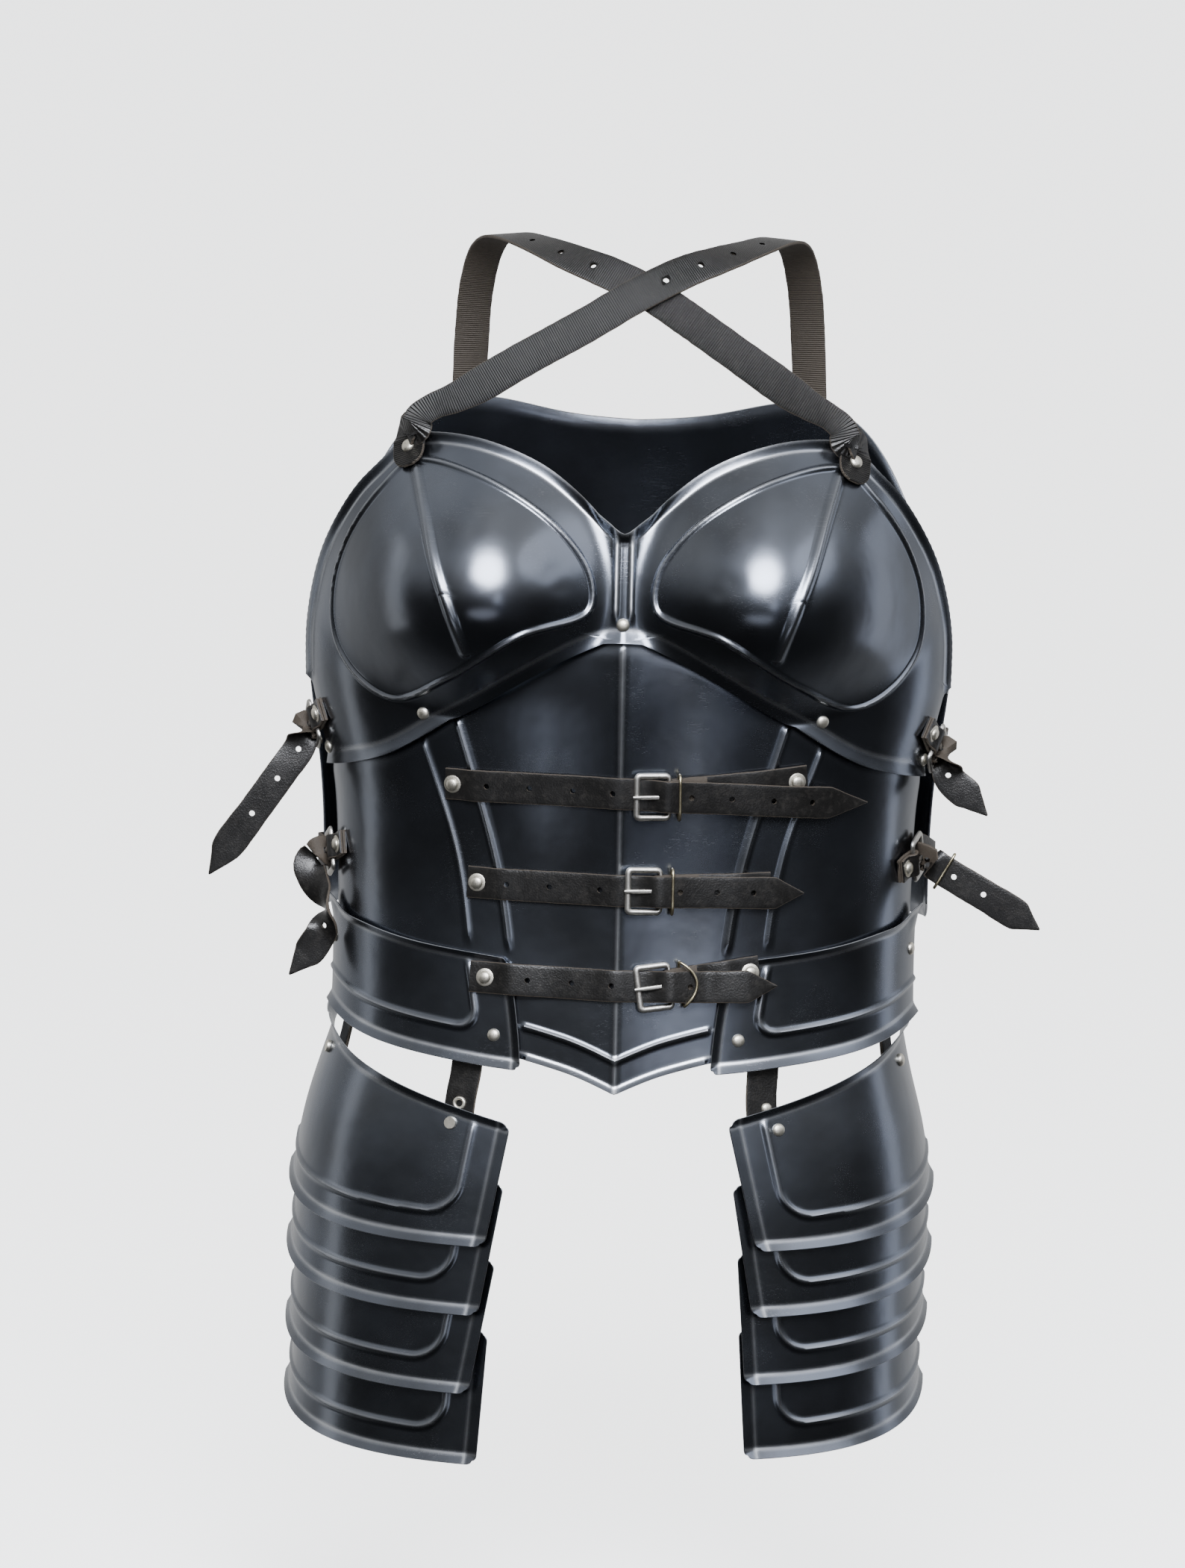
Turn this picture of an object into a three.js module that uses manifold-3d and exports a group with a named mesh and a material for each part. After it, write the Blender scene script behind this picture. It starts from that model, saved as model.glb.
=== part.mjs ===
// Steel breastplate with an abdomen plate, belt plates, tassets and leather straps.
// Millimetres. +Z is up and the front faces -Y. The origin is on the body's midline, at the height
// where the straps rest on the shoulders. Heights are given as drops below the collar line.

import * as THREE from 'three';
import { mergeVertices } from 'three/addons/utils/BufferGeometryUtils.js';
import Module from 'manifold-3d';

const wasm = await Module();
wasm.setup();

// Driving sizes
const collarHeight = 45; // collar line above the strap rest
const sheet = 1.2; // 18 gauge steel
const leather = 1.8;
const layerGap = 1.2; // between one plate and the plate that it covers
const roundness = 0.18; // how much fuller than an ellipse the body's section is
const backEase = 2; // the back plate's inner face stands this far outside the front section
const degree = Math.PI / 180;
const frontEdgeAngle = 80 * degree; // side edges of the front plates, from straight ahead

// The body's front section at each drop
const torso = [
  { drop: 100, halfWidth: 152, depth: 84 },
  { drop: 160, halfWidth: 168, depth: 95 },
  { drop: 205, halfWidth: 174, depth: 106 },
  { drop: 255, halfWidth: 178.5, depth: 112 },
  { drop: 300, halfWidth: 178, depth: 112.5 },
  { drop: 345, halfWidth: 168.5, depth: 110 },
  { drop: 400, halfWidth: 164.5, depth: 109 },
  { drop: 450, halfWidth: 163.5, depth: 112 },
  { drop: 500, halfWidth: 165, depth: 117 },
  { drop: 530, halfWidth: 168, depth: 120 },
];

// The hips' section under the tassets; the two tassets hang at different widths
const hips = [
  { drop: 490, left: 163, right: 158, depth: 117 },
  { drop: 518, left: 170.5, right: 162, depth: 120 },
  { drop: 545, left: 176.5, right: 167, depth: 122.5 },
  { drop: 580, left: 180, right: 170, depth: 124.5 },
  { drop: 650, left: 181, right: 168, depth: 126 },
  { drop: 730, left: 181.5, right: 165.5, depth: 126 },
];

// The back's section
const back = [
  { drop: 130, halfWidth: 160, depth: 88 },
  { drop: 200, halfWidth: 174, depth: 98 },
  { drop: 290, halfWidth: 178, depth: 99 },
  { drop: 345, halfWidth: 171, depth: 90 },
  { drop: 400, halfWidth: 168, depth: 87 },
  { drop: 440, halfWidth: 168, depth: 90 },
];

// Bust plate outlines, as distances from the midline and drops
const neckline = [
  { across: 0, drop: 206 }, { across: 21, drop: 190.5 }, { across: 50, drop: 170.5 },
  { across: 82, drop: 158.5 }, { across: 106, drop: 155.5 }, { across: 122, drop: 157 },
];
const armhole = [
  { across: 122, drop: 157 }, { across: 134, drop: 171 }, { across: 147, drop: 185 },
  { across: 158, drop: 202 }, { across: 167, drop: 221 }, { across: 173, drop: 242 },
  { across: 176.5, drop: 266 }, { across: 176.5, drop: 294 },
];
const bustHem = [
  { across: 0, drop: 265 }, { across: 18, drop: 266.7 }, { across: 38, drop: 273.8 },
  { across: 58, drop: 284.5 }, { across: 80, drop: 299.5 }, { across: 103, drop: 316 },
  { across: 130, drop: 332.5 }, { across: 152, drop: 340 }, { across: 164, drop: 343 },
];
const cupPanel = [
  { across: 118, drop: 170 }, { across: 82, drop: 177 }, { across: 42, drop: 201 },
  { across: 21, drop: 228 }, { across: 21, drop: 247 }, { across: 58, drop: 259 },
  { across: 97, drop: 284 }, { across: 126, drop: 300 }, { across: 145, drop: 292 },
  { across: 160, drop: 271 }, { across: 162, drop: 242 }, { across: 153, drop: 212 },
  { across: 134, drop: 184 },
];
const cupRib = [
  { across: 116, drop: 174 }, { across: 110, drop: 195 }, { across: 102.5, drop: 223 },
  { across: 94, drop: 247 }, { across: 86, drop: 268 },
];
const cup = { across: 90, drop: 238, height: 46, reachAcross: 86, reachDrop: 82, skew: 10, skewRun: 40 };
const keel = { height: 5, reach: 42 };

// Abdomen plate: its lower edge and its two ribs a side
const abdomenHem = [
  { across: 0, drop: 516.6 }, { across: 12, drop: 511.5 }, { across: 24, drop: 507 },
  { across: 38, drop: 503 }, { across: 52, drop: 499.5 }, { across: 75, drop: 496.5 },
  { across: 110, drop: 493 }, { across: 150, drop: 485 }, { across: 166, drop: 480 },
];
const innerRib = [
  { drop: 240, across: 116 }, { drop: 310, across: 92 }, { drop: 358, across: 77.4 },
  { drop: 393, across: 68 }, { drop: 438, across: 60.6 }, { drop: 517, across: 53 },
];
const outerRib = [
  { drop: 240, across: 143 }, { drop: 321, across: 111.7 }, { drop: 354, across: 100 },
  { drop: 382, across: 91.3 }, { drop: 416, across: 85.2 }, { drop: 437, across: 82.8 },
  { drop: 517, across: 77 },
];
const underlap = 22; // how far the abdomen plate goes up behind the bust plate
const tuck = 1; // and how far it steps back there
const bustHemEnd = 164; // the bust hem's distance from the midline at the side edge

// Belt plate outlines
const beltTop = [
  { across: 58, drop: 444.5 }, { across: 80, drop: 441.8 }, { across: 97, drop: 439.7 },
  { across: 115, drop: 437 }, { across: 133, drop: 433 }, { across: 146, drop: 429.5 },
  { across: 156, drop: 425 }, { across: 162, drop: 418 },
];
const beltHem = [
  { across: 50, drop: 506 }, { across: 67, drop: 504.5 }, { across: 93, drop: 501.3 },
  { across: 121, drop: 497 }, { across: 141, drop: 492 }, { across: 153, drop: 486.5 },
  { across: 162, drop: 480 },
];
const beltFront = [{ drop: 444, across: 60 }, { drop: 497, across: 53 }, { drop: 506, across: 52.5 }];

// Tasset lames: where the front edge starts and ends, and the drops of their edges there
const lames = {
  left: [
    { top: 536, hem: 604.5, frontTop: 57.5, frontHem: 69.5 },
    { top: 569.5, hem: 643.3, frontTop: 60.5, frontHem: 72.5 },
    { top: 613, hem: 687.8, frontTop: 64.5, frontHem: 77 },
    { top: 653.5, hem: 727.4, frontTop: 68, frontHem: 72 },
  ],
  right: [
    { top: 534, hem: 604, frontTop: 63.5, frontHem: 79 },
    { top: 568, hem: 641, frontTop: 66.5, frontHem: 77.5 },
    { top: 606, hem: 679, frontTop: 70, frontHem: 74 },
    { top: 648, hem: 721, frontTop: 71.5, frontHem: 74.5 },
  ],
};
const lameStagger = 6; // a lame's lower edge stands this much further out than its upper edge
const lameBackAngle = 92 * degree;
const hemRise = 26; // how far a lame's edges rise from front to side
const firstTopSlope = 0.7; // drop per degree along the first lame's upper edge
const firstTopAngle = 20 * degree;

// Raised work, as width and height
const panelBead = { width: 4, height: 1.6 };
const cupRibSize = { width: 6, height: 1.5 };
const innerRibSize = { width: 4.5, height: 1.6 };
const outerRibSize = { width: 3, height: 1.2 };
const hemLineSize = { width: 4, height: 1.3, above: 18 };
const lameRidge = { width: 4, height: 1.3, above: 17.5, inside: 19 };
const beltRidge = { width: 4, height: 1.3, above: 19, inside: 23 };
const plateRivetSize = { radius: 3.5, skirt: 0.5, height: 2.4, sides: 6 };
const punchedHole = { radius: 1.9, depth: 8, sides: 5 };

const blackSteel = new THREE.MeshStandardMaterial({ color: 0x15171b, roughness: 0.18, metalness: 1 });
const blackLeather = new THREE.MeshStandardMaterial({ color: 0x1c1b1a, roughness: 0.6, metalness: 0 });
const nickel = new THREE.MeshStandardMaterial({ color: 0xb9b6ad, roughness: 0.3, metalness: 1 });

const up = new THREE.Vector3(0, 1, 0);
const vector = (x, y, z) => new THREE.Vector3(x, y, z);
const mix = (a, b, t) => a + (b - a) * t;
const clamp = (value, low, high) => Math.min(high, Math.max(low, value));
const ease = (low, high, value) => {
  const t = clamp((value - low) / (high - low), 0, 1);
  return t * t * (3 - 2 * t);
};

// Natural cubic spline through one column of a table, as a function of another
function smooth(rows, from, to) {
  const x = rows.map((row) => row[from]);
  const y = rows.map((row) => row[to]);
  const count = x.length;
  const bend = new Array(count).fill(0);
  const work = new Array(count).fill(0);
  for (let i = 1; i < count - 1; i++) {
    const share = (x[i] - x[i - 1]) / (x[i + 1] - x[i - 1]);
    const pivot = share * bend[i - 1] + 2;
    const change = (y[i + 1] - y[i]) / (x[i + 1] - x[i]) - (y[i] - y[i - 1]) / (x[i] - x[i - 1]);
    bend[i] = (share - 1) / pivot;
    work[i] = ((6 * change) / (x[i + 1] - x[i - 1]) - share * work[i - 1]) / pivot;
  }
  for (let i = count - 2; i >= 0; i--) bend[i] = bend[i] * bend[i + 1] + work[i];
  return (value) => {
    const at = clamp(value, x[0], x[count - 1]);
    let i = 0;
    while (i < count - 2 && at > x[i + 1]) i++;
    const step = x[i + 1] - x[i];
    const a = (x[i + 1] - at) / step;
    const b = 1 - a;
    const curve = ((a ** 3 - a) * bend[i] + (b ** 3 - b) * bend[i + 1]) * step * step / 6;
    return a * y[i] + b * y[i + 1] + curve;
  };
}

// Body surfaces: an angle from straight ahead and a drop give a point
const torsoWidth = smooth(torso, 'drop', 'halfWidth');
const torsoDepth = smooth(torso, 'drop', 'depth');
const backWidth = smooth(back, 'drop', 'halfWidth');
const backDepth = smooth(back, 'drop', 'depth');
const hipWidth = { left: smooth(hips, 'drop', 'left'), right: smooth(hips, 'drop', 'right') };
const hipDepth = smooth(hips, 'drop', 'depth');

function sectionPoint(angle, halfWidth, depth, drop) {
  const sine = Math.sin(angle);
  return vector(halfWidth * sine, -depth * Math.cos(angle) * (1 + roundness * sine * sine), collarHeight - drop);
}

function torsoPoint(angle, drop) {
  const point = sectionPoint(angle, torsoWidth(drop), torsoDepth(drop), drop);
  const fade = Math.max(0, 1 - Math.abs(point.x) / keel.reach);
  point.y -= keel.height * fade * fade;
  return point;
}

function bustPoint(angle, drop) {
  const point = torsoPoint(angle, drop);
  const below = drop - cup.drop;
  const u = (Math.abs(point.x) - cup.across) / cup.reachAcross;
  const v = below / (cup.reachDrop - cup.skew * Math.tanh(below / cup.skewRun));
  const square = Math.min(1, u * u + v * v);
  point.y -= cup.height * (1 - square) ** 2 * (1 + 0.6 * square);
  return point;
}

const backPoint = (angle, drop) => sectionPoint(angle, backWidth(drop) + backEase, backDepth(drop), drop);
const hipPoint = (side) => (angle, drop) => sectionPoint(angle, hipWidth[side](drop), hipDepth(drop), drop);

function outward(pointAt, angle, drop) {
  const small = 0.004;
  const alongAngle = pointAt(angle + small, drop).sub(pointAt(angle - small, drop));
  const alongDrop = pointAt(angle, drop + 0.5).sub(pointAt(angle, drop - 0.5));
  return alongDrop.cross(alongAngle).normalize();
}

const lifted = (pointAt, angle, drop, lift) =>
  pointAt(angle, drop).addScaledVector(outward(pointAt, angle, drop), lift);
const torsoAngle = (across, drop) => Math.asin(clamp(across / torsoWidth(drop), -1, 1));

// Geometry from points and triangles, with its faces turned outwards
function geometryFrom(points, faces) {
  let volume = 0;
  for (const [a, b, c] of faces) volume += points[a].dot(points[b].clone().cross(points[c]));
  const geometry = new THREE.BufferGeometry();
  geometry.setAttribute('position', new THREE.Float32BufferAttribute(points.flatMap((p) => p.toArray()), 3));
  geometry.setIndex(volume > 0 ? faces.flat() : faces.flatMap(([a, b, c]) => [a, c, b]));
  return geometry;
}

// A sheet: knots give angle, drop and the inner face's lift; triangles join them
function sheetGeometry(knots, faces, pointAt, thickness = sheet) {
  const outer = knots.map((k) => lifted(pointAt, k.angle, k.drop, k.lift + thickness));
  const inner = knots.map((k) => lifted(pointAt, k.angle, k.drop, k.lift));
  const count = knots.length;
  const edges = new Set(faces.flatMap(([a, b, c]) => [`${a} ${b}`, `${b} ${c}`, `${c} ${a}`]));
  const all = [...faces, ...faces.map(([a, b, c]) => [a + count, c + count, b + count])];
  for (const edge of edges) {
    const [a, b] = edge.split(' ').map(Number);
    if (edges.has(`${b} ${a}`)) continue;
    all.push([b, a, a + count], [b, a + count, b + count]);
  }
  return geometryFrom([...outer, ...inner], all);
}

function gridFaces(columns, rows) {
  const faces = [];
  for (let c = 0; c < columns - 1; c++) {
    for (let r = 0; r < rows - 1; r++) {
      const a = c * rows + r;
      const b = a + rows;
      faces.push([a, b, b + 1], [a, b + 1, a + 1]);
    }
  }
  return faces;
}

// A solid through rings of equal point counts, capped at both ends or joined into a loop
function loft(rings, loop = false) {
  const sides = rings[0].length;
  const faces = [];
  const steps = loop ? rings.length : rings.length - 1;
  for (let i = 0; i < steps; i++) {
    const next = (i + 1) % rings.length;
    for (let j = 0; j < sides; j++) {
      const k = (j + 1) % sides;
      faces.push([i * sides + j, next * sides + j, next * sides + k], [i * sides + j, next * sides + k, i * sides + k]);
    }
  }
  if (!loop) {
    const last = (rings.length - 1) * sides;
    for (let j = 1; j < sides - 1; j++) faces.push([0, j, j + 1], [last, last + j + 1, last + j]);
  }
  return geometryFrom(rings.flat(), faces);
}

// A strip of leather or a bar through stations that give its centre, its outward side and its width
function ribbon(stations, thickness) {
  const rings = stations.map((station, i) => {
    const before = stations[Math.max(0, i - 1)].at;
    const after = stations[Math.min(stations.length - 1, i + 1)].at;
    const along = after.clone().sub(before).normalize();
    const across = (station.across?.clone() ?? along.clone().cross(station.out))
      .normalize().multiplyScalar(station.width / 2);
    const out = across.clone().cross(along).normalize().multiplyScalar(thickness / 2);
    return [[1, 1], [-1, 1], [-1, -1], [1, -1]].map(([a, o]) =>
      station.at.clone().addScaledVector(across, a).addScaledVector(out, o));
  });
  return loft(rings);
}

// A round wire through the points of a closed curve
function wireLoop(points, radius, sides = 4) {
  const rings = points.map((point, i) => {
    const before = points[(i + points.length - 1) % points.length];
    const after = points[(i + 1) % points.length];
    const along = after.clone().sub(before).normalize();
    const middle = points.reduce((sum, p) => sum.add(p), vector(0, 0, 0)).divideScalar(points.length);
    const out = point.clone().sub(middle).projectOnPlane(along).normalize();
    const across = along.clone().cross(out);
    return Array.from({ length: sides }, (_, j) => {
      const turn = (j + 0.5) / sides * 2 * Math.PI;
      return point.clone().addScaledVector(out, radius * Math.cos(turn)).addScaledVector(across, radius * Math.sin(turn));
    });
  });
  return loft(rings, true);
}

// Boolean solids; edges under the smallest length are merged
const smallest = 0.03;
function solidOf(geometry) {
  const bare = geometry.clone();
  bare.deleteAttribute('normal');
  bare.deleteAttribute('uv');
  const merged = mergeVertices(bare, 1e-4);
  return new wasm.Manifold(new wasm.Mesh({
    numProp: 3,
    vertProperties: new Float32Array(merged.attributes.position.array),
    triVerts: new Uint32Array(merged.index.array),
  }));
}

function geometryOf(solid) {
  const result = solid.simplify(smallest).getMesh();
  const geometry = new THREE.BufferGeometry();
  geometry.setAttribute('position', new THREE.Float32BufferAttribute(result.vertProperties, 3));
  geometry.setIndex(Array.from(result.triVerts));
  return geometry;
}

const joined = (base, ...others) => geometryOf(others.reduce((sum, g) => sum.add(solidOf(g)), solidOf(base)));
const cutBy = (base, ...tools) => geometryOf(tools.reduce((rest, g) => rest.subtract(solidOf(g)), solidOf(base)));

function placed(geometry, at, out) {
  geometry.applyQuaternion(new THREE.Quaternion().setFromUnitVectors(up, out.clone().normalize()));
  return geometry.translate(at.x, at.y, at.z);
}

// Rivets: a domed head on a shank; plateRivet is joined to its plate, so its foot sinks in
function rivetGeometry(headRadius, headHeight, shankRadius, shankLength, sides = 6) {
  const profile = [[0, -shankLength], [shankRadius, -shankLength], [shankRadius, 0], [headRadius, 0], [0, headHeight]];
  return new THREE.LatheGeometry(profile.map(([r, h]) => new THREE.Vector2(r, h)), sides);
}

function plateRivet(pointAt, angle, drop, lift, sink = 1) {
  const { radius, skirt, height, sides } = plateRivetSize;
  const profile = [[0, -sink], [radius, -sink], [radius, skirt], [0, height]];
  const dome = new THREE.LatheGeometry(profile.map(([r, h]) => new THREE.Vector2(r, h)), sides);
  return placed(dome, lifted(pointAt, angle, drop, lift), outward(pointAt, angle, drop));
}

function punch(at, out) {
  const { radius, depth, sides } = punchedHole;
  return placed(new THREE.CylinderGeometry(radius, radius, depth, sides), at, out);
}

const armour = new THREE.Group();
function add(name, geometry, material) {
  const mesh = new THREE.Mesh(geometry, material);
  mesh.name = name;
  armour.add(mesh);
}

const halves = [{ side: 'left', sign: -1 }, { side: 'right', sign: 1 }];

// Bust plate: rings of knots round each cup, from its middle over the panel bead to the edge
const bustLift = sheet + layerGap;
const curveThrough = (rows, closed) => new THREE.CatmullRomCurve3(
  rows.map((row) => vector(row.across, row.drop, 0)), closed, 'centripetal');

function bustOutline() {
  const midline = [{ across: 0, drop: 265 }, { across: 0, drop: 206 }];
  const sideEdge = [{ across: 176.5, drop: 294 }, { across: 164, drop: 343 }];
  const runs = [
    { rows: midline, steps: 3, band: 5, lift: 0 },
    { rows: neckline, steps: 6, band: 5, lift: 3 },
    { rows: armhole, steps: 6, band: 5, lift: 3 },
    { rows: sideEdge, steps: 2, band: 4, lift: 0 },
    { rows: [...bustHem].reverse(), steps: 8, band: 7.5, lift: 2.5 },
  ];
  return runs.flatMap(({ rows, steps, band, lift }) => {
    const curve = curveThrough(rows, false);
    return Array.from({ length: steps }, (_, i) => {
      const point = curve.getPointAt(i / steps);
      return { across: point.x, drop: point.y, band, lift };
    });
  });
}

function bustGeometry() {
  const middle = { across: 98, drop: 238 };
  const outline = bustOutline();
  const bead = curveThrough(cupPanel, true).getSpacedPoints(180);
  const beadReach = (turn) => {
    let best = bead[0];
    let least = Infinity;
    for (const point of bead) {
      const miss = Math.abs(Math.sin((Math.atan2(point.y - middle.drop, point.x - middle.across) - turn) / 2));
      if (miss < least) [least, best] = [miss, point];
    }
    return Math.hypot(best.x - middle.across, best.y - middle.drop);
  };
  const knots = [];
  const faces = [];
  const shared = new Map();
  for (const { sign } of halves) {
    const hub = knots.length;
    const hubAngle = torsoAngle(sign * middle.across, middle.drop);
    knots.push({ angle: hubAngle, drop: middle.drop, lift: bustLift });
    const rays = outline.map((edge, i) => {
      const before = outline[(i + outline.length - 1) % outline.length];
      const after = outline[(i + 1) % outline.length];
      const away = vector(edge.across - middle.across, edge.drop - middle.drop, 0);
      const reach = away.length();
      const tangent = vector(after.across - before.across, after.drop - before.drop, 0).normalize();
      const squareness = Math.max(0.6, Math.abs(away.clone().normalize().cross(tangent).z));
      const beadAt = beadReach(Math.atan2(away.y, away.x));
      const bandAt = Math.max(beadAt + panelBead.width / 2 + 1, reach - edge.band / squareness);
      const rings = [
        { at: beadAt * 0.5, lift: 0 },
        { at: beadAt - panelBead.width / 2, lift: 0 },
        { at: beadAt, lift: panelBead.height },
        { at: beadAt + panelBead.width / 2, lift: 0 },
        { at: bandAt, lift: 0 },
        { at: reach, lift: edge.lift },
      ];
      return rings.map((ring) => {
        const across = middle.across + away.x * ring.at / reach;
        const drop = middle.drop + away.y * ring.at / reach;
        const key = Math.abs(across) < 0.01 ? drop.toFixed(3) : `${sign} ${across} ${drop}`;
        if (!shared.has(key)) {
          shared.set(key, knots.length);
          knots.push({ angle: torsoAngle(sign * across, drop), drop, lift: bustLift + ring.lift });
        }
        return shared.get(key);
      });
    });
    rays.forEach((ray, i) => {
      const next = rays[(i + 1) % rays.length];
      const turned = (a, b, c) => faces.push(sign > 0 ? [a, b, c] : [a, c, b]);
      turned(hub, ray[0], next[0]);
      for (let r = 0; r < ray.length - 1; r++) {
        turned(ray[r], ray[r + 1], next[r + 1]);
        turned(ray[r], next[r + 1], next[r]);
      }
    });
  }
  return sheetGeometry(knots, faces, bustPoint);
}

function raisedRib(pointAt, rows, sign, size, lift) {
  return loft(rows.map((row, i) => {
    const before = rows[Math.max(0, i - 1)];
    const after = rows[Math.min(rows.length - 1, i + 1)];
    const along = vector(after.across - before.across, after.drop - before.drop, 0).normalize();
    const corner = (shift, height) => {
      const across = row.across + along.y * shift;
      const drop = row.drop - along.x * shift;
      return lifted(pointAt, torsoAngle(sign * across, drop), drop, lift + height);
    };
    const half = size.width / 2;
    return [corner(-half, -0.5), corner(half, -0.5), corner(half * 0.4, size.height), corner(-half * 0.4, size.height)];
  }));
}

function bustPlate() {
  const extras = [];
  const face = bustLift + sheet;
  for (const { sign } of halves) {
    const ribPath = curveThrough(cupRib, false).getSpacedPoints(5).map((p) => ({ across: p.x, drop: p.y }));
    extras.push(raisedRib(bustPoint, ribPath, sign, cupRibSize, face));
    extras.push(plateRivet(bustPoint, torsoAngle(sign * 110, 308), 308, face));
    extras.push(plateRivet(bustPoint, torsoAngle(sign * 165, 334), 334, face));
  }
  extras.push(plateRivet(bustPoint, 0, 255, face));
  return joined(bustGeometry(), ...extras);
}
add('bust_plate', bustPlate(), blackSteel);

// Abdomen plate: columns follow the keel and the ribs, rows follow the hem
const bustHemDrop = smooth(bustHem, 'across', 'drop');
const abdomenHemDrop = smooth(abdomenHem, 'across', 'drop');
const innerRibAcross = smooth(innerRib, 'drop', 'across');
const outerRibAcross = smooth(outerRib, 'drop', 'across');
const beltTopDrop = smooth(beltTop, 'across', 'drop');
const beltHemDrop = smooth(beltHem, 'across', 'drop');
const beltFrontAcross = smooth(beltFront, 'drop', 'across');

function abdomenPlate() {
  const sideColumns = [
    { share: 0.16 }, { share: 0.42 }, { share: 0.73 },
    { rib: innerRibAcross, size: innerRibSize, shift: -0.5 }, { rib: innerRibAcross, size: innerRibSize, shift: 0 },
    { rib: innerRibAcross, size: innerRibSize, shift: 0.5 }, { rib: outerRibAcross, size: outerRibSize, shift: -0.5 },
    { rib: outerRibAcross, size: outerRibSize, shift: 0 }, { rib: outerRibAcross, size: outerRibSize, shift: 0.5 },
    { toEdge: 0.34 }, { toEdge: 0.68 }, { toEdge: 1 },
  ];
  const rowsUp = [
    { above: 0, lift: 2 }, { above: 3.4, lift: 0 }, { above: hemLineSize.above - hemLineSize.width / 2, lift: 0 },
    { above: hemLineSize.above, lift: hemLineSize.height }, { above: hemLineSize.above + hemLineSize.width / 2, lift: 0 },
  ];
  const upperRows = 6;
  const acrossOf = (column, drop) => {
    if (column.rib) return column.rib(drop) + column.shift * column.size.width;
    if (column.share) return column.share * innerRibAcross(drop);
    const start = outerRibAcross(drop) + outerRibSize.width / 2;
    const from = torsoAngle(start, drop);
    return Math.sin(mix(from, frontEdgeAngle, column.toEdge)) * torsoWidth(drop);
  };
  const columns = [...sideColumns].reverse().map((c) => ({ ...c, sign: -1 }))
    .concat([{ sign: 0 }], sideColumns.map((c) => ({ ...c, sign: 1 })));
  const knots = [];
  for (const column of columns) {
    for (let r = 0; r < rowsUp.length + upperRows; r++) {
      let drop = 400;
      let across = 0;
      for (let pass = 0; pass < 4; pass++) {
        across = column.sign === 0 ? 0 : acrossOf(column, drop);
        const hem = abdomenHemDrop(across);
        const top = bustHemDrop(Math.min(bustHemEnd, across)) - underlap;
        const start = hem - rowsUp[rowsUp.length - 1].above;
        drop = r < rowsUp.length ? hem - rowsUp[r].above : mix(start, top, (r - rowsUp.length + 1) / upperRows);
      }
      let lift = r < rowsUp.length ? rowsUp[r].lift : 0;
      const clearOfBust = ease(bustHemDrop(Math.min(bustHemEnd, across)) - 2, bustHemDrop(Math.min(bustHemEnd, across)) + 8, drop);
      const clearOfBelt = across < beltFrontAcross(drop) - 3 ? 1 : 1 - ease(beltTopDrop(across) - 12, beltTopDrop(across) - 3, drop);
      if (column.rib && column.shift === 0) lift = Math.max(lift, column.size.height * clearOfBust * clearOfBelt);
      if (across > 50) lift *= clearOfBelt;
      lift -= tuck * (1 - clearOfBust);
      knots.push({ angle: torsoAngle(column.sign * across, drop), drop, lift });
    }
  }
  return sheetGeometry(knots, gridFaces(columns.length, rowsUp.length + upperRows), torsoPoint);
}
add('abdomen_plate', abdomenPlate(), blackSteel);

// Back plate: plain, from the side edges round the back, with armholes
function backPlate() {
  const topEdge = [
    { turn: 88, drop: 300 }, { turn: 100, drop: 282 }, { turn: 112, drop: 232 }, { turn: 124, drop: 172 },
    { turn: 136, drop: 146 }, { turn: 150, drop: 142 }, { turn: 165, drop: 150 }, { turn: 180, drop: 154 },
  ];
  const topAt = smooth(topEdge, 'turn', 'drop');
  const turns = [88, 91, 100, 110, 121, 133, 147, 163, 180];
  const columns = [...turns, ...turns.slice(0, -1).reverse().map((turn) => 360 - turn)];
  const rowShares = [0, 0.04, 0.35, 0.66, 0.97, 1];
  const knots = [];
  for (const column of columns) {
    const turn = Math.min(column, 360 - column);
    const bottom = turn < 90 ? 420 : turn < 95 ? 427 : 430;
    for (const share of rowShares) {
      const edge = share === 0 || share === 1 ? 1.5 : 0;
      knots.push({ angle: column * degree, drop: mix(topAt(turn), bottom, share), lift: edge });
    }
  }
  return sheetGeometry(knots, gridFaces(columns.length, rowShares.length), backPoint);
}
add('back_plate', backPlate(), blackSteel);

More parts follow.
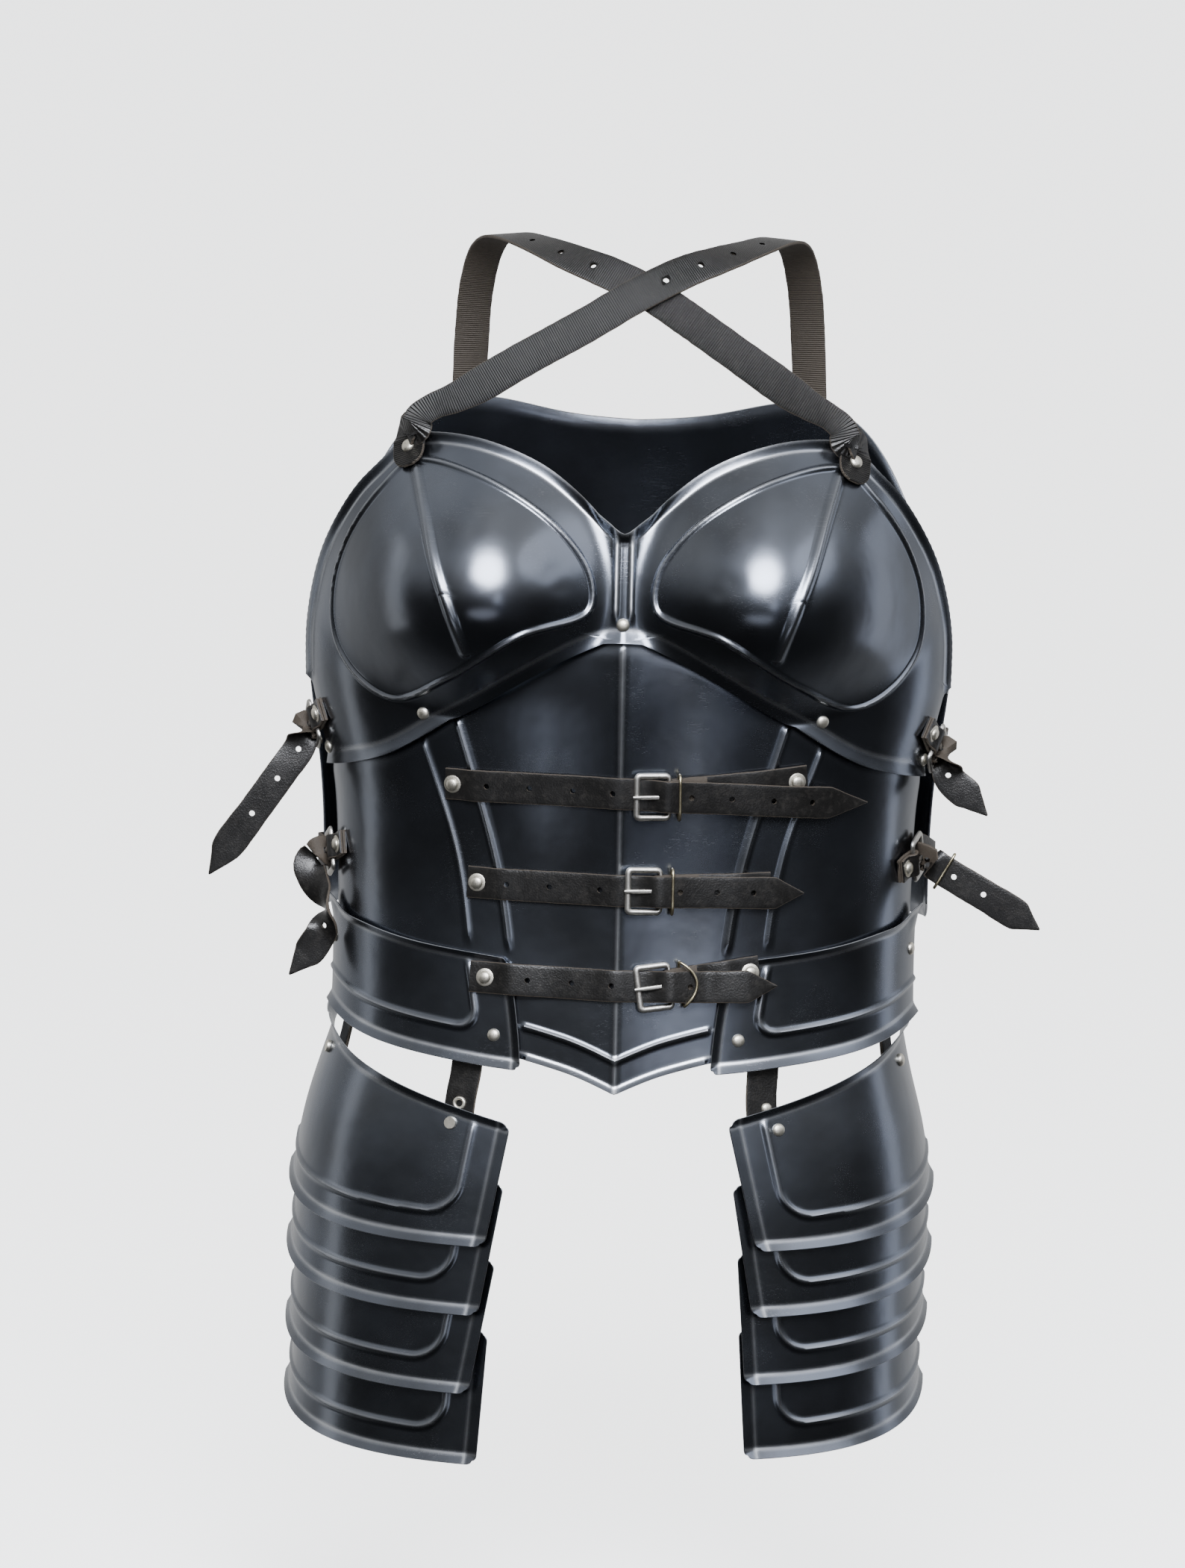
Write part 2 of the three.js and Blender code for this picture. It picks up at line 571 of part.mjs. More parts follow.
// Belt plates: flanged front and lower edges, a rolled top edge and an L-shaped ridge
function beltPlate(sign) {
  const columns = [
    { inside: 0, lift: 2 }, { inside: 4, lift: 0 }, { inside: beltRidge.inside - beltRidge.width / 2, lift: 0 },
    { inside: beltRidge.inside, lift: 0, ridge: true }, { inside: beltRidge.inside + beltRidge.width / 2, lift: 0, past: true },
    { toEdge: 0.28, past: true }, { toEdge: 0.54, past: true }, { toEdge: 0.78, past: true }, { toEdge: 1, past: true },
  ];
  const rows = [
    { below: 0, lift: 1.6 }, { below: 3, lift: 0 }, { above: beltRidge.above + beltRidge.width / 2, lift: 0 },
    { above: beltRidge.above, lift: 0, ridge: true }, { above: beltRidge.above - beltRidge.width / 2, lift: 0 },
    { above: 5.4, lift: 0 }, { above: 0, lift: 3 },
  ];
  const knots = [];
  columns.forEach((column, c) => {
    rows.forEach((row, r) => {
      let drop = 470;
      let across = 60;
      for (let pass = 0; pass < 4; pass++) {
        const front = beltFrontAcross(drop);
        const from = torsoAngle(front + beltRidge.inside + beltRidge.width / 2, drop);
        across = column.toEdge === undefined
          ? front + column.inside
          : Math.sin(mix(from, frontEdgeAngle + 2 * degree, column.toEdge)) * torsoWidth(drop);
        const top = beltTopDrop(across);
        const hem = beltHemDrop(across);
        drop = row.below !== undefined ? top + row.below : hem - row.above;
      }
      const corner = c === 0 && (r === 0 || r === rows.length - 1) ? 2.2 : 0;
      across += corner;
      drop += r === 0 ? corner : -corner;
      let lift = bustLift + Math.max(column.lift ?? 0, row.lift ?? 0);
      if (row.ridge && (column.ridge || column.past)) lift += beltRidge.height;
      else if (column.ridge && r > 0 && r < 3) lift += beltRidge.height;
      knots.push({ angle: torsoAngle(sign * across, drop), drop, lift });
    });
  });
  const faces = gridFaces(columns.length, rows.length);
  const turned = sign > 0 ? faces : faces.map(([a, b, c]) => [a, c, b]);
  const face = bustLift + sheet;
  return joined(
    sheetGeometry(knots, turned, torsoPoint),
    plateRivet(torsoPoint, torsoAngle(sign * 67.5, 487), 487, face),
    plateRivet(torsoPoint, sign * 78 * degree, 443, face),
  );
}
for (const { side, sign } of halves) add(`belt_plate_${side}`, beltPlate(sign), blackSteel);

// Tassets: each lame leans out from its upper edge, so it covers the next one
const riseAt = (angle) => hemRise * (angle / (90 * degree)) ** 3.5;

function lamePlate(side, sign, index) {
  const lame = lames[side][index];
  const surface = hipPoint(side);
  const pointAt = (angle, drop) => {
    const point = surface(Math.abs(angle), drop);
    point.x *= sign;
    return point;
  };
  const widthAt = hipWidth[side];
  const topAt = (angle) => index === 0
    ? lame.top - firstTopSlope * Math.max(0, angle - firstTopAngle) / degree
    : lame.top - riseAt(angle);
  const columns = [
    { inside: 0, lift: 2 }, { inside: 6, lift: 0 }, { inside: lameRidge.inside - lameRidge.width / 2, lift: 0 },
    { inside: lameRidge.inside, ridge: true }, { inside: lameRidge.inside + lameRidge.width / 2, past: true },
    ...(index === 0 ? [0.08, 0.3, 0.53, 0.77, 1] : [0.25, 0.5, 0.75, 1]).map((toEdge) => ({ toEdge, past: true })),
  ];
  const rows = [
    { below: 0, lift: index === 0 ? 1.5 : 0 }, { below: index === 0 ? 4 : 24, lift: 0 },
    { above: lameRidge.above + lameRidge.width / 2, lift: 0 }, { above: lameRidge.above, ridge: true },
    { above: lameRidge.above - lameRidge.width / 2, lift: 0 }, { above: 5, lift: 0 }, { above: 0, lift: 2.5 },
  ];
  const knots = [];
  columns.forEach((column, c) => {
    rows.forEach((row, r) => {
      let drop = mix(lame.top, lame.hem, r / (rows.length - 1));
      let angle = 0;
      for (let pass = 0; pass < 4; pass++) {
        const front = mix(lame.frontTop, lame.frontHem, clamp((drop - lame.top) / (lame.hem - lame.top), 0, 1));
        const angleOf = (across) => Math.asin(across / widthAt(drop));
        angle = column.toEdge === undefined
          ? angleOf(front + column.inside)
          : mix(angleOf(front + lameRidge.inside + lameRidge.width / 2), lameBackAngle, column.toEdge);
        drop = row.below !== undefined ? topAt(angle) + row.below : lame.hem - riseAt(angle) - row.above;
      }
      if (c === 0 && (r === 0 || r === rows.length - 1)) {
        angle += 1.8 / widthAt(drop);
        drop += r === 0 ? 1.8 : -1.8;
      }
      const share = (drop - topAt(angle)) / (lame.hem - riseAt(angle) - topAt(angle));
      let lift = lameStagger * clamp(share, 0, 1) + Math.max(column.lift ?? 0, row.lift ?? 0);
      if (row.ridge && (column.ridge || column.past)) lift += lameRidge.height;
      else if (column.ridge && r > 0 && r < 3) lift += lameRidge.height;
      if (index === 0 && r === 0) lift += 4 * ease(70 * degree, lameBackAngle, angle);
      knots.push({ angle: sign * angle, drop, lift });
    });
  });
  const faces = gridFaces(columns.length, rows.length);
  const turned = sign > 0 ? faces : faces.map(([a, b, c]) => [a, c, b]);
  const plate = sheetGeometry(knots, turned, pointAt);
  if (index > 0) return plate;
  return joined(
    plate,
    plateRivet(pointAt, sign * Math.asin(91 / widthAt(537)), 537, sheet + 0.8, 1.8),
    plateRivet(pointAt, sign * 78 * degree, 507, sheet + 1, 1.8),
  );
}
for (const { side, sign } of halves) {
  for (let index = 0; index < 4; index++) {
    add(`tasset_${side}_lame_${index + 1}`, lamePlate(side, sign, index), blackSteel);
  }
}

// Hanger straps: from behind the abdomen plate down behind the lames
const hangers = [
  { name: 'front', turn: 30.5 * degree, joinsHip: 522, leavesBody: 496, inset: 1.9 },
  { name: 'hip', turn: 76 * degree, joinsHip: 490, leavesBody: 474, inset: 2.5 },
];

function hangerStrap(side, sign, { turn, joinsHip, leavesBody, inset }) {
  const surface = hipPoint(side);
  const drops = [464, leavesBody, (leavesBody + joinsHip) / 2, joinsHip, 545, 600, 676];
  return ribbon(drops.map((drop) => {
    const onHip = ease(leavesBody, joinsHip, drop);
    const at = lifted(torsoPoint, turn, drop, -inset - leather / 2)
      .lerp(lifted(surface, turn, drop, -inset - leather / 2), onHip);
    const out = outward(surface, turn, drop);
    at.x *= sign;
    out.x *= sign;
    return { at, out, width: 18 };
  }), leather);
}
for (const { side, sign } of halves) {
  for (const hanger of hangers) add(`hanger_strap_${side}_${hanger.name}`, hangerStrap(side, sign, hanger), blackLeather);
}

// Leather and fittings
const strapWidth = 17.8;
const barThickness = 1.8;
const pivotWidth = 2;
const foldRadius = 2.2; // middle of the leather where it is folded round a pivot bar
const foldShift = 0.6; // the fold stands this far off the pivot bar's middle
const wireRadius = 0.8;
const clearance = 0.3;
const prongWidth = 2.2;
const prongThickness = 1.6;
const slotRoom = 0.8; // a slot is this much wider than its prong

// A working frame: along a strap, across it, and out from the body
function bench(at, out, along) {
  const z = out.clone().normalize();
  const x = along.clone().projectOnPlane(z).normalize();
  return new THREE.Matrix4().makeBasis(x, z.clone().cross(x), z).setPosition(at);
}
const onBench = (frame, along, across, height) => vector(along, across, height).applyMatrix4(frame);
const acrossOf = (frame) => vector(0, 0, 0).setFromMatrixColumn(frame, 1).negate();

// A flat cast frame with rounded corners, thinner at its pivot bar
function buckleFrame(frame, { length, height, rail }, barHeight) {
  const [x, y, corner] = [length / 2, height / 2, 3];
  const outline = [[-x + corner, -y], [x - corner, -y], [x, -y + corner], [x, y - corner],
    [x - corner, y], [-x + corner, y], [-x, y - corner], [-x, -y + corner]];
  const shape = new THREE.Shape(outline.map(([a, b]) => new THREE.Vector2(a, b)));
  const opening = [[-x + rail, -y + rail], [-x + rail, y - rail], [x - pivotWidth, y - rail], [x - pivotWidth, -y + rail]];
  shape.holes.push(new THREE.Path(opening.map(([a, b]) => new THREE.Vector2(a, b))));
  const plate = new THREE.ExtrudeGeometry(shape, { depth: barThickness, bevelEnabled: false });
  plate.translate(0, 0, barHeight - barThickness / 2);
  return geometryOf(solidOf(plate.applyMatrix4(frame)));
}

// The prong hooks over the pivot bar and rests on the free bar; room widens it for cutting its slot
function prongGeometry(frame, length, barHeight, room = 0) {
  const top = barHeight + (barThickness + prongThickness) / 2 + clearance;
  const pivot = length / 2 - pivotWidth / 2;
  const path = [[-length / 2 + 0.3, top], [pivot + 0.5, top], [pivot + 1.9, top - 0.8], [pivot + 2.2, barHeight - 0.4]];
  return ribbon(path.map(([along, height]) => ({
    at: onBench(frame, along, 0, height), across: acrossOf(frame), width: prongWidth + room,
  })), prongThickness + room);
}

// Stations of the leather round a pivot bar, from the lower layer to the upper one
function foldStations(frame, across, length, barHeight, width) {
  const middle = length / 2 - pivotWidth / 2 - foldShift;
  return [-90, -140, 180, 140, 90].map((turn) => ({
    at: onBench(frame, middle + foldRadius * Math.cos(turn * degree), 0, barHeight + foldRadius * Math.sin(turn * degree)),
    across,
    width,
  }));
}

function strapRivet(at, out, stack, headRadius = 4) {
  return placed(rivetGeometry(headRadius, 1.6, 1.4, stack), at, out);
}

// Front straps: the long strap's middle line and heights, and the short strap that holds the buckle
const frontBuckle = { length: 21, height: 27, rail: 3.4, barHeight: 6 };
const throughBuckle = [
  { along: -13, height: 3.8 }, { along: -8, height: 3.8 }, { along: -4.5, height: 4.3 }, { along: 0, height: 5.9 },
  { along: 3.5, height: 8.1 }, { along: 6, height: 9.7 }, { along: 9, height: 10.5 }, { along: 12, height: 10.2 },
  { along: 16, height: 9.6 }, { along: 23, height: 8.2 }, { along: 30, height: 7.4 },
];
const shortLower = [
  { along: 24, height: 2.9 }, { along: 17, height: 3.2 }, { along: 12, height: 3.5 },
];
const shortUpper = [
  { along: 12, height: 8 }, { along: 15, height: 7.2 }, { along: 21, height: 5.6 },
];
const frontStraps = [
  {
    line: [{ x: -97, drop: 347.2 }, { x: 0, drop: 349 }, { x: 60, drop: 351 }, { x: 133.5, drop: 354.4 }],
    middle: 17, keeper: 14.7, bow: 0, tilt: 0, upperEnd: 31,
    left: [
      { x: -97, height: 2.8 }, { x: -88.5, height: 3 }, { x: -83.5, height: 4.6 }, { x: -76.5, height: 4.6 }, { x: -65, height: 3.5 },
      { x: -20, height: 3.3 }, { x: -1, height: 3.7 },
    ],
    right: [{ x: 62, height: 6.4 }, { x: 79, height: 7.2 }, { x: 96, height: 7.9 }, { x: 113, height: 6.8 }],
    tip: { x: 133.5, height: 5.2 },
    short: [{ x: 102, height: 3.7 }, { x: 92, height: 3.8 }, { x: 78, height: 4.5 }, { x: 62, height: 3.2 }],
    shortLine: [{ x: 17, drop: 350.3 }, { x: 60, drop: 346 }, { x: 102, drop: 341 }],
    holes: [-73.8, -50.4, -25.8, -3.5, 38.7, 60.9, 83.2, 103.5], rivet: -93, anchor: 96.4,
  },
  {
    line: [{ x: -83.8, drop: 402 }, { x: 0, drop: 403.6 }, { x: 50, drop: 403.9 }, { x: 100.6, drop: 404.6 }],
    middle: 13, keeper: 15.5, bow: 0, tilt: 0, upperEnd: 31,
    left: [{ x: -83.8, height: 2.7 }, { x: -76, height: 3 }, { x: -66.5, height: 4.4 }, { x: -52, height: 3.4 }, { x: -20, height: 3.3 }],
    right: [{ x: 54, height: 6.7 }, { x: 66, height: 6.8 }, { x: 85, height: 6.4 }],
    tip: { x: 100.6, height: 5.4 },
    short: [{ x: 83.5, height: 2.8 }, { x: 76, height: 3.1 }, { x: 66.5, height: 4.4 }, { x: 54, height: 3.2 }],
    shortLine: [{ x: 13, drop: 403.5 }, { x: 50, drop: 402.6 }, { x: 83.5, drop: 401.5 }],
    holes: [-61.9, -38.3, -9.6, 33, 53.7, 73.4], rivet: -78.5,
  },
  {
    line: [{ x: -80.5, drop: 454.7 }, { x: 0, drop: 456.8 }, { x: 45, drop: 457 }, { x: 86.1, drop: 456.4 }],
    middle: 19.9, keeper: 15.5, bow: 8, tilt: -8, upperEnd: 25,
    left: [
      { x: -80.5, height: 6.3 }, { x: -74, height: 5.7 }, { x: -67, height: 5.9 }, { x: -59.5, height: 7.4 }, { x: -50, height: 6 },
      { x: -35, height: 3.6 }, { x: -15, height: 3.3 }, { x: -1, height: 3.7 },
    ],
    right: [{ x: 58.5, height: 9.4 }, { x: 71, height: 10.6 }],
    tip: { x: 86.1, height: 9.6 },
    short: [{ x: 77.5, height: 6.7 }, { x: 66, height: 6.8 }, { x: 58.5, height: 7.2 }, { x: 50, height: 5.2 }],
    shortLine: [{ x: 19.9, drop: 457.4 }, { x: 50, drop: 452.6 }, { x: 77.5, drop: 448 }],
    holes: [-48.9, -24.6, -2, 39.9], rivet: -72.2, anchor: 72.4,
  },
];

function frontStrap(strap, index) {
  const number = index + 1;
  const { length, barHeight } = frontBuckle;
  const lineDrop = smooth(strap.line, 'x', 'drop');
  const shortDrop = smooth(strap.shortLine, 'x', 'drop');
  const middleDrop = shortDrop(strap.middle);
  const middleTurn = torsoAngle(strap.middle, middleDrop);
  const lean = Math.tan(strap.tilt * degree);
  const frame = bench(
    torsoPoint(middleTurn, middleDrop), outward(torsoPoint, middleTurn, middleDrop), vector(1, 0, -lean));
  const inverse = frame.clone().invert();
  const station = (x, drop, height) => {
    const turn = torsoAngle(x, drop);
    const surface = torsoPoint(turn, drop);
    const normal = outward(torsoPoint, turn, drop);
    const flat = surface.clone().applyMatrix4(inverse).setZ(height).applyMatrix4(frame);
    const flatness = 1 - ease(13, 24, Math.abs(x - strap.middle));
    return { at: surface.addScaledVector(normal, height).lerp(flat, flatness), out: normal, width: strapWidth };
  };
  const longPath = [
    ...strap.left, ...throughBuckle.map(({ along, height }) => ({ x: strap.middle + along, height })), ...strap.right,
  ];
  const heightAt = (x) => {
    let i = 0;
    const path = [...longPath, strap.tip];
    while (i < path.length - 2 && x > path[i + 1].x) i++;
    return mix(path[i].height, path[i + 1].height, (x - path[i].x) / (path[i + 1].x - path[i].x));
  };
  const stations = longPath.map(({ x, height }) => station(x, lineDrop(x), height));
  stations.push({ ...station(strap.tip.x, lineDrop(strap.tip.x), strap.tip.height), width: 1.2 });
  const prongRoom = prongGeometry(frame, length, barHeight, slotRoom);
  const rivetHole = station(strap.rivet, lineDrop(strap.rivet), heightAt(strap.rivet));
  const holes = strap.holes.map((x) => station(x, lineDrop(x), heightAt(x))).map(({ at, out }) => punch(at, out));
  add(`front_strap_${number}`,
    cutBy(ribbon(stations, leather), prongRoom, punch(rivetHole.at, rivetHole.out), ...holes), blackLeather);
  const short = strap.short.map(({ x, height }) => station(x, shortDrop(x), height));
  const layer = ({ along, height }) => station(strap.middle + along, shortDrop(strap.middle + along), height);
  const looped = [...short, ...shortLower.map(layer), ...foldStations(frame, acrossOf(frame).negate(), length, barHeight, strapWidth)];
  const upper = [...shortUpper, { along: strap.upperEnd, height: 5.3 }];
  const turned = upper.map(layer).map(({ at, out, width }) => ({ at, out: out.clone().negate(), width }));
  const cuts = [prongRoom];
  if (strap.anchor) {
    const anchor = station(strap.anchor, shortDrop(strap.anchor), mix(strap.short[0].height, strap.short[1].height, 0.5));
    cuts.push(punch(anchor.at, anchor.out));
    const headAt = anchor.at.clone().addScaledVector(anchor.out, leather / 2 + clearance);
    add(`buckle_rivet_${number}`, strapRivet(headAt, anchor.out, leather + clearance, 4), nickel);
  }
  add(`buckle_strap_${number}`, cutBy(ribbon([...looped, ...turned], leather), ...cuts), blackLeather);
  add(`front_buckle_${number}`, buckleFrame(frame, frontBuckle, barHeight), nickel);
  add(`front_prong_${number}`, prongGeometry(frame, length, barHeight), nickel);
  const low = 5.2; // underside of the keeper ring, and its top
  const high = 11.8;
  const bowed = (across) => strap.keeper + strap.bow * (1 - (across / 12.4) ** 2);
  const ring = [[-10.4, low], [0, low], [10.4, low], [12.3, low + 1.6], [12.3, high - 1.6]]
    .map(([across, height]) => [strap.keeper, across, height])
    .concat([[9.5, high], [0, high + strap.bow * 0.02], [-9.5, high]].map(([a, h]) => [bowed(a), a, h]))
    .concat([[strap.keeper, -12.3, high - 1.6], [strap.keeper, -12.3, low + 1.6]]);
  add(`front_keeper_${number}`, wireLoop(ring.map(([a, w, h]) => onBench(frame, a, w, h)), wireRadius), nickel);
  const headAt = rivetHole.at.clone().addScaledVector(rivetHole.out, leather / 2 + clearance);
  add(`front_rivet_${number}`, strapRivet(headAt, rivetHole.out, leather + clearance, 4.5), nickel);
}
frontStraps.forEach(frontStrap);

// Shoulder straps: riveted to the bust plate, crossed below the throat, over the shoulders to the back plate
const shoulderStraps = [
  {
    name: 'over', start: -1, rivetAcross: 119, rivetDrop: 164.5,
    path: [
      { x: -119, drop: 149, y: -88, width: 19, out: [-0.1, -1, 0.1] },
      { x: -116.5, drop: 143, y: -87, width: 16, out: [-0.1, -1, 0.1] },
      { x: -109, drop: 137.5, y: -86.5, width: 15, out: [-0.1, -1, 0.1] },
      { x: -98, drop: 133, y: -86, width: 17, out: [-0.1, -1, 0.1] },
      { x: -84, drop: 125.5, y: -85, width: 20, out: [0, -1, 0.15] },
      { x: -60, drop: 111, y: -83.5, width: 20, out: [0, -1, 0.2] },
      { x: -25, drop: 91, y: -81, width: 20, out: [0, -1, 0.25] },
      { x: 3, drop: 74, y: -78, width: 20, out: [0, -1, 0.3] },
      { x: 30, drop: 60.5, y: -69, width: 20, out: [0.05, -0.9, 0.5] },
      { x: 47, drop: 54.5, y: -55, width: 20, out: [0.08, -0.75, 0.7] },
      { x: 66, drop: 48.5, y: -30, width: 20, out: [0.1, -0.4, 0.95] },
      { x: 79, drop: 45, y: -6, width: 20, out: [0.1, -0.1, 1] },
      { x: 86, drop: 46.5, y: 14, width: 20, out: [0.1, 0.2, 1] },
      { x: 91, drop: 56, y: 36, width: 20, out: [0.1, 0.55, 0.85] },
      { x: 95, drop: 78, y: 56, width: 20, out: [0.1, 0.8, 0.55] },
      { x: 97, drop: 108, y: 72, width: 20, out: [0.1, 0.95, 0.3] },
    ],
  },
  {
    name: 'under', start: 1, rivetAcross: 122.4, rivetDrop: 168.5,
    path: [
      { x: 121.5, drop: 153, y: -86, width: 19, out: [0.1, -1, 0.1] },
      { x: 119, drop: 145.5, y: -86, width: 16, out: [0.1, -1, 0.1] },
      { x: 112, drop: 139.5, y: -85, width: 15, out: [0.1, -1, 0.1] },
      { x: 101, drop: 133.5, y: -84, width: 17, out: [0.1, -1, 0.1] },
      { x: 89, drop: 126, y: -82.5, width: 20, out: [0, -1, 0.15] },
      { x: 64, drop: 109, y: -80, width: 20, out: [0, -1, 0.2] },
      { x: 30, drop: 86, y: -76, width: 20, out: [0, -1, 0.25] },
      { x: 8, drop: 72, y: -72.5, width: 20, out: [0, -1, 0.35] },
      { x: -13, drop: 62.5, y: -66, width: 20, out: [-0.05, -0.9, 0.5] },
      { x: -33, drop: 55.5, y: -54, width: 20, out: [-0.08, -0.75, 0.7] },
      { x: -54, drop: 48.5, y: -31, width: 20, out: [-0.1, -0.4, 0.95] },
      { x: -70, drop: 45, y: -6, width: 20, out: [-0.1, -0.1, 1] },
      { x: -80, drop: 46.5, y: 14, width: 20, out: [-0.1, 0.2, 1] },
      { x: -88, drop: 56, y: 36, width: 20, out: [-0.1, 0.55, 0.85] },
      { x: -94, drop: 78, y: 56, width: 20, out: [-0.1, 0.8, 0.55] },
      { x: -97, drop: 108, y: 72, width: 20, out: [-0.1, 0.95, 0.3] },
    ],
  },
];
const overPlate = clearance + leather / 2;

function shoulderStrap({ name, start, rivetAcross, rivetDrop, path }) {
  const bustFace = bustLift + sheet;
  const seat = (drop, extra) => {
    const turn = torsoAngle(start * rivetAcross, drop);
    return { at: lifted(bustPoint, turn, drop, bustFace + overPlate + extra), out: outward(bustPoint, turn, drop), width: 20 };
  };
  const backTurn = Math.PI - Math.asin(97 / backWidth(150));
  const backSeat = (drop, extra) => ({
    at: lifted(backPoint, -start * backTurn, drop, sheet + overPlate + extra),
    out: outward(backPoint, -start * backTurn, drop),
    width: 20,
  });
  const free = path.map(({ x, y, drop, width, out }) => ({ at: vector(x, y, collarHeight - drop), out: vector(...out), width }));
  const stations = [
    seat(rivetDrop + 9, 1.3), seat(rivetDrop + 4.5, 1.8), seat(rivetDrop - 4.5, 2.8), seat(rivetDrop - 8.5, 5.8),
    ...free, backSeat(141, 3), backSeat(152, 1.2), backSeat(170, 0.4),
  ];
  const [, below, above] = stations;
  const rivetAt = below.at.clone().lerp(above.at, 0.5);
  const rivetOut = below.out.clone().add(above.out).projectOnPlane(above.at.clone().sub(below.at)).normalize();
  add(`shoulder_strap_${name}`, cutBy(ribbon(stations, leather), punch(rivetAt, rivetOut)), blackLeather);
  const headAt = rivetAt.clone().addScaledVector(rivetOut, leather / 2 + clearance);
  add(`shoulder_rivet_${name}`, strapRivet(headAt, rivetOut, leather + 2 * clearance), nickel);
}
shoulderStraps.forEach(shoulderStrap);

// Side fastenings: a leather tab on a front plate holds a buckle; the strap comes round from the back plate
const sideBuckle = { length: 18, height: 26, rail: 3.2 };
const tabLength = 17; // from the buckle's middle to the tab's rivet
const sideFastenings = [
  {
    name: 'upper_left', sign: -1, turn: 79, drop: 321, tabDrop: 314, barHeight: 7.5, tabBase: 4.9, backDrop: 330,
    path: [
      { x: 185, drop: 335, y: -29, width: 17.8, out: [0, -1, 0] }, { x: 195, drop: 350, y: -31, width: 17.8, out: [0, -1, 0] },
      { x: 211, drop: 373, y: -33, width: 17.8, out: [0, -1, 0] }, { x: 227, drop: 397, y: -34, width: 16, out: [0, -1, 0] },
      { x: 235.5, drop: 409, y: -34.5, width: 2, out: [0, -1, 0] },
    ],
  },
  {
    name: 'lower_left', sign: -1, turn: 79, drop: 395, tabDrop: 389.5, barHeight: 6, tabBase: 2.5, backDrop: 400,
    path: [
      { x: 179, drop: 402, y: -31, width: 17.8, out: [0, -1, 0] }, { x: 176, drop: 410.5, y: -34, width: 17.8, out: [-0.2, -1, 0] },
      { x: 171, drop: 418, y: -38, width: 17.8, out: [-0.8, -0.8, 0] }, { x: 167.5, drop: 426, y: -41, width: 17.8, out: [-1, -0.1, 0] },
      { x: 168, drop: 433, y: -41, width: 17.8, out: [-0.8, -0.8, 0] }, { x: 170.5, drop: 440, y: -40, width: 17.8, out: [0, -1, 0] },
      { x: 178, drop: 452, y: -40, width: 16.5, out: [0, -1, 0] }, { x: 188.5, drop: 464.5, y: -41, width: 2, out: [0, -1, 0] },
    ],
  },
  {
    name: 'upper_right', sign: 1, turn: 78, drop: 327, tabDrop: 317.5, barHeight: 7.5, tabBase: 4.9, backDrop: 330,
    path: [
      { x: 183, drop: 345, y: -30, width: 17.8, out: [0, -1, 0] }, { x: 194, drop: 355, y: -31, width: 17, out: [0, -1, 0] },
      { x: 205, drop: 366, y: -32, width: 4, out: [0, -1, 0] },
    ],
  },
  {
    name: 'lower_right', sign: 1, turn: 77, drop: 390, tabDrop: 395.5, barHeight: 6, tabBase: 2.5, backDrop: 400, keeper: 0.3,
    path: [
      { x: 178, drop: 396, y: -31, width: 17.8, out: [0, -1, 0] }, { x: 190, drop: 403, y: -32, width: 17.8, out: [0, -1, 0] },
      { x: 206, drop: 412, y: -33, width: 17.8, out: [0, -1, 0] }, { x: 224, drop: 422.5, y: -33.5, width: 16.5, out: [0, -1, 0] },
      { x: 236, drop: 430, y: -34, width: 3, out: [0, -1, 0] },
    ],
  },
];

function sideFastening({ name, sign, turn, drop, tabDrop, barHeight, tabBase, backDrop, path, keeper }) {
  const { length } = sideBuckle;
  const centre = lifted(torsoPoint, sign * turn * degree, drop, 0);
  const reach = tabLength / torsoWidth(drop);
  const rivetTurn = sign * (turn * degree - reach);
  const rivetSpot = lifted(torsoPoint, rivetTurn, tabDrop, tabBase);
  const frame = bench(centre, outward(torsoPoint, sign * turn * degree, drop), rivetSpot.clone().sub(centre));
  const across = acrossOf(frame);
  const tabWidth = 14;
  const low = (share, height) => ({
    at: lifted(torsoPoint, mix(rivetTurn, sign * turn * degree, share), mix(tabDrop, drop, share), height), across, width: tabWidth,
  });
  const stations = [
    low(-0.35, tabBase), low(0, tabBase), ...foldStations(frame, across, length, barHeight, tabWidth),
    { at: onBench(frame, length / 2 + 1, 0, barHeight + 2.1), across, width: tabWidth },
    low(0.15, tabBase + 2.7), low(-0.35, tabBase + 2.2),
  ];
  const prongRoom = prongGeometry(frame, length, barHeight, slotRoom);
  add(`side_tab_${name}`, cutBy(ribbon(stations, leather), prongRoom), blackLeather);
  add(`side_buckle_${name}`, buckleFrame(frame, sideBuckle, barHeight), nickel);
  add(`side_prong_${name}`, prongGeometry(frame, length, barHeight), nickel);
  const backTurns = [{ turn: 118, lift: 1 }, { turn: 106, lift: 1.8 }, { turn: 94, lift: 2.2 }, { turn: 89.5, lift: 2.6 }];
  const behind = backTurns.map((row) => {
    const angle = sign * row.turn * degree;
    const height = mix(backDrop, drop, (118 - row.turn) / (118 - turn));
    return {
      at: lifted(backPoint, angle, height, sheet + overPlate + row.lift),
      out: outward(backPoint, angle, height),
      width: strapWidth,
    };
  });
  const inside = [[-9, -2.7], [-6, -2.5], [-3, -1.2], [-0.4, 1.4], [1, 5]].map(([along, height]) => ({
    at: onBench(frame, along, 0, barHeight + height), across, width: strapWidth,
  }));
  const free = path.map((row) => ({
    at: vector(sign * row.x, row.y, collarHeight - row.drop), out: vector(-sign * row.out[0], row.out[1], row.out[2]), width: row.width,
  }));
  add(`side_strap_${name}`, cutBy(ribbon([...behind, ...inside, ...free], leather), prongRoom), blackLeather);
  if (!keeper) return;
  const [first, second] = free;
  const ringAt = first.at.clone().lerp(second.at, keeper);
  const ringFrame = bench(ringAt, vector(0, -1, 0), second.at.clone().sub(first.at));
  const ring = [[-9, -2], [9, -2], [11, -1], [11, 1], [9, 2], [-9, 2], [-11, 1], [-11, -1]];
  add('side_keeper', wireLoop(ring.map(([w, h]) => onBench(ringFrame, 0, w, h)), wireRadius), nickel);
}
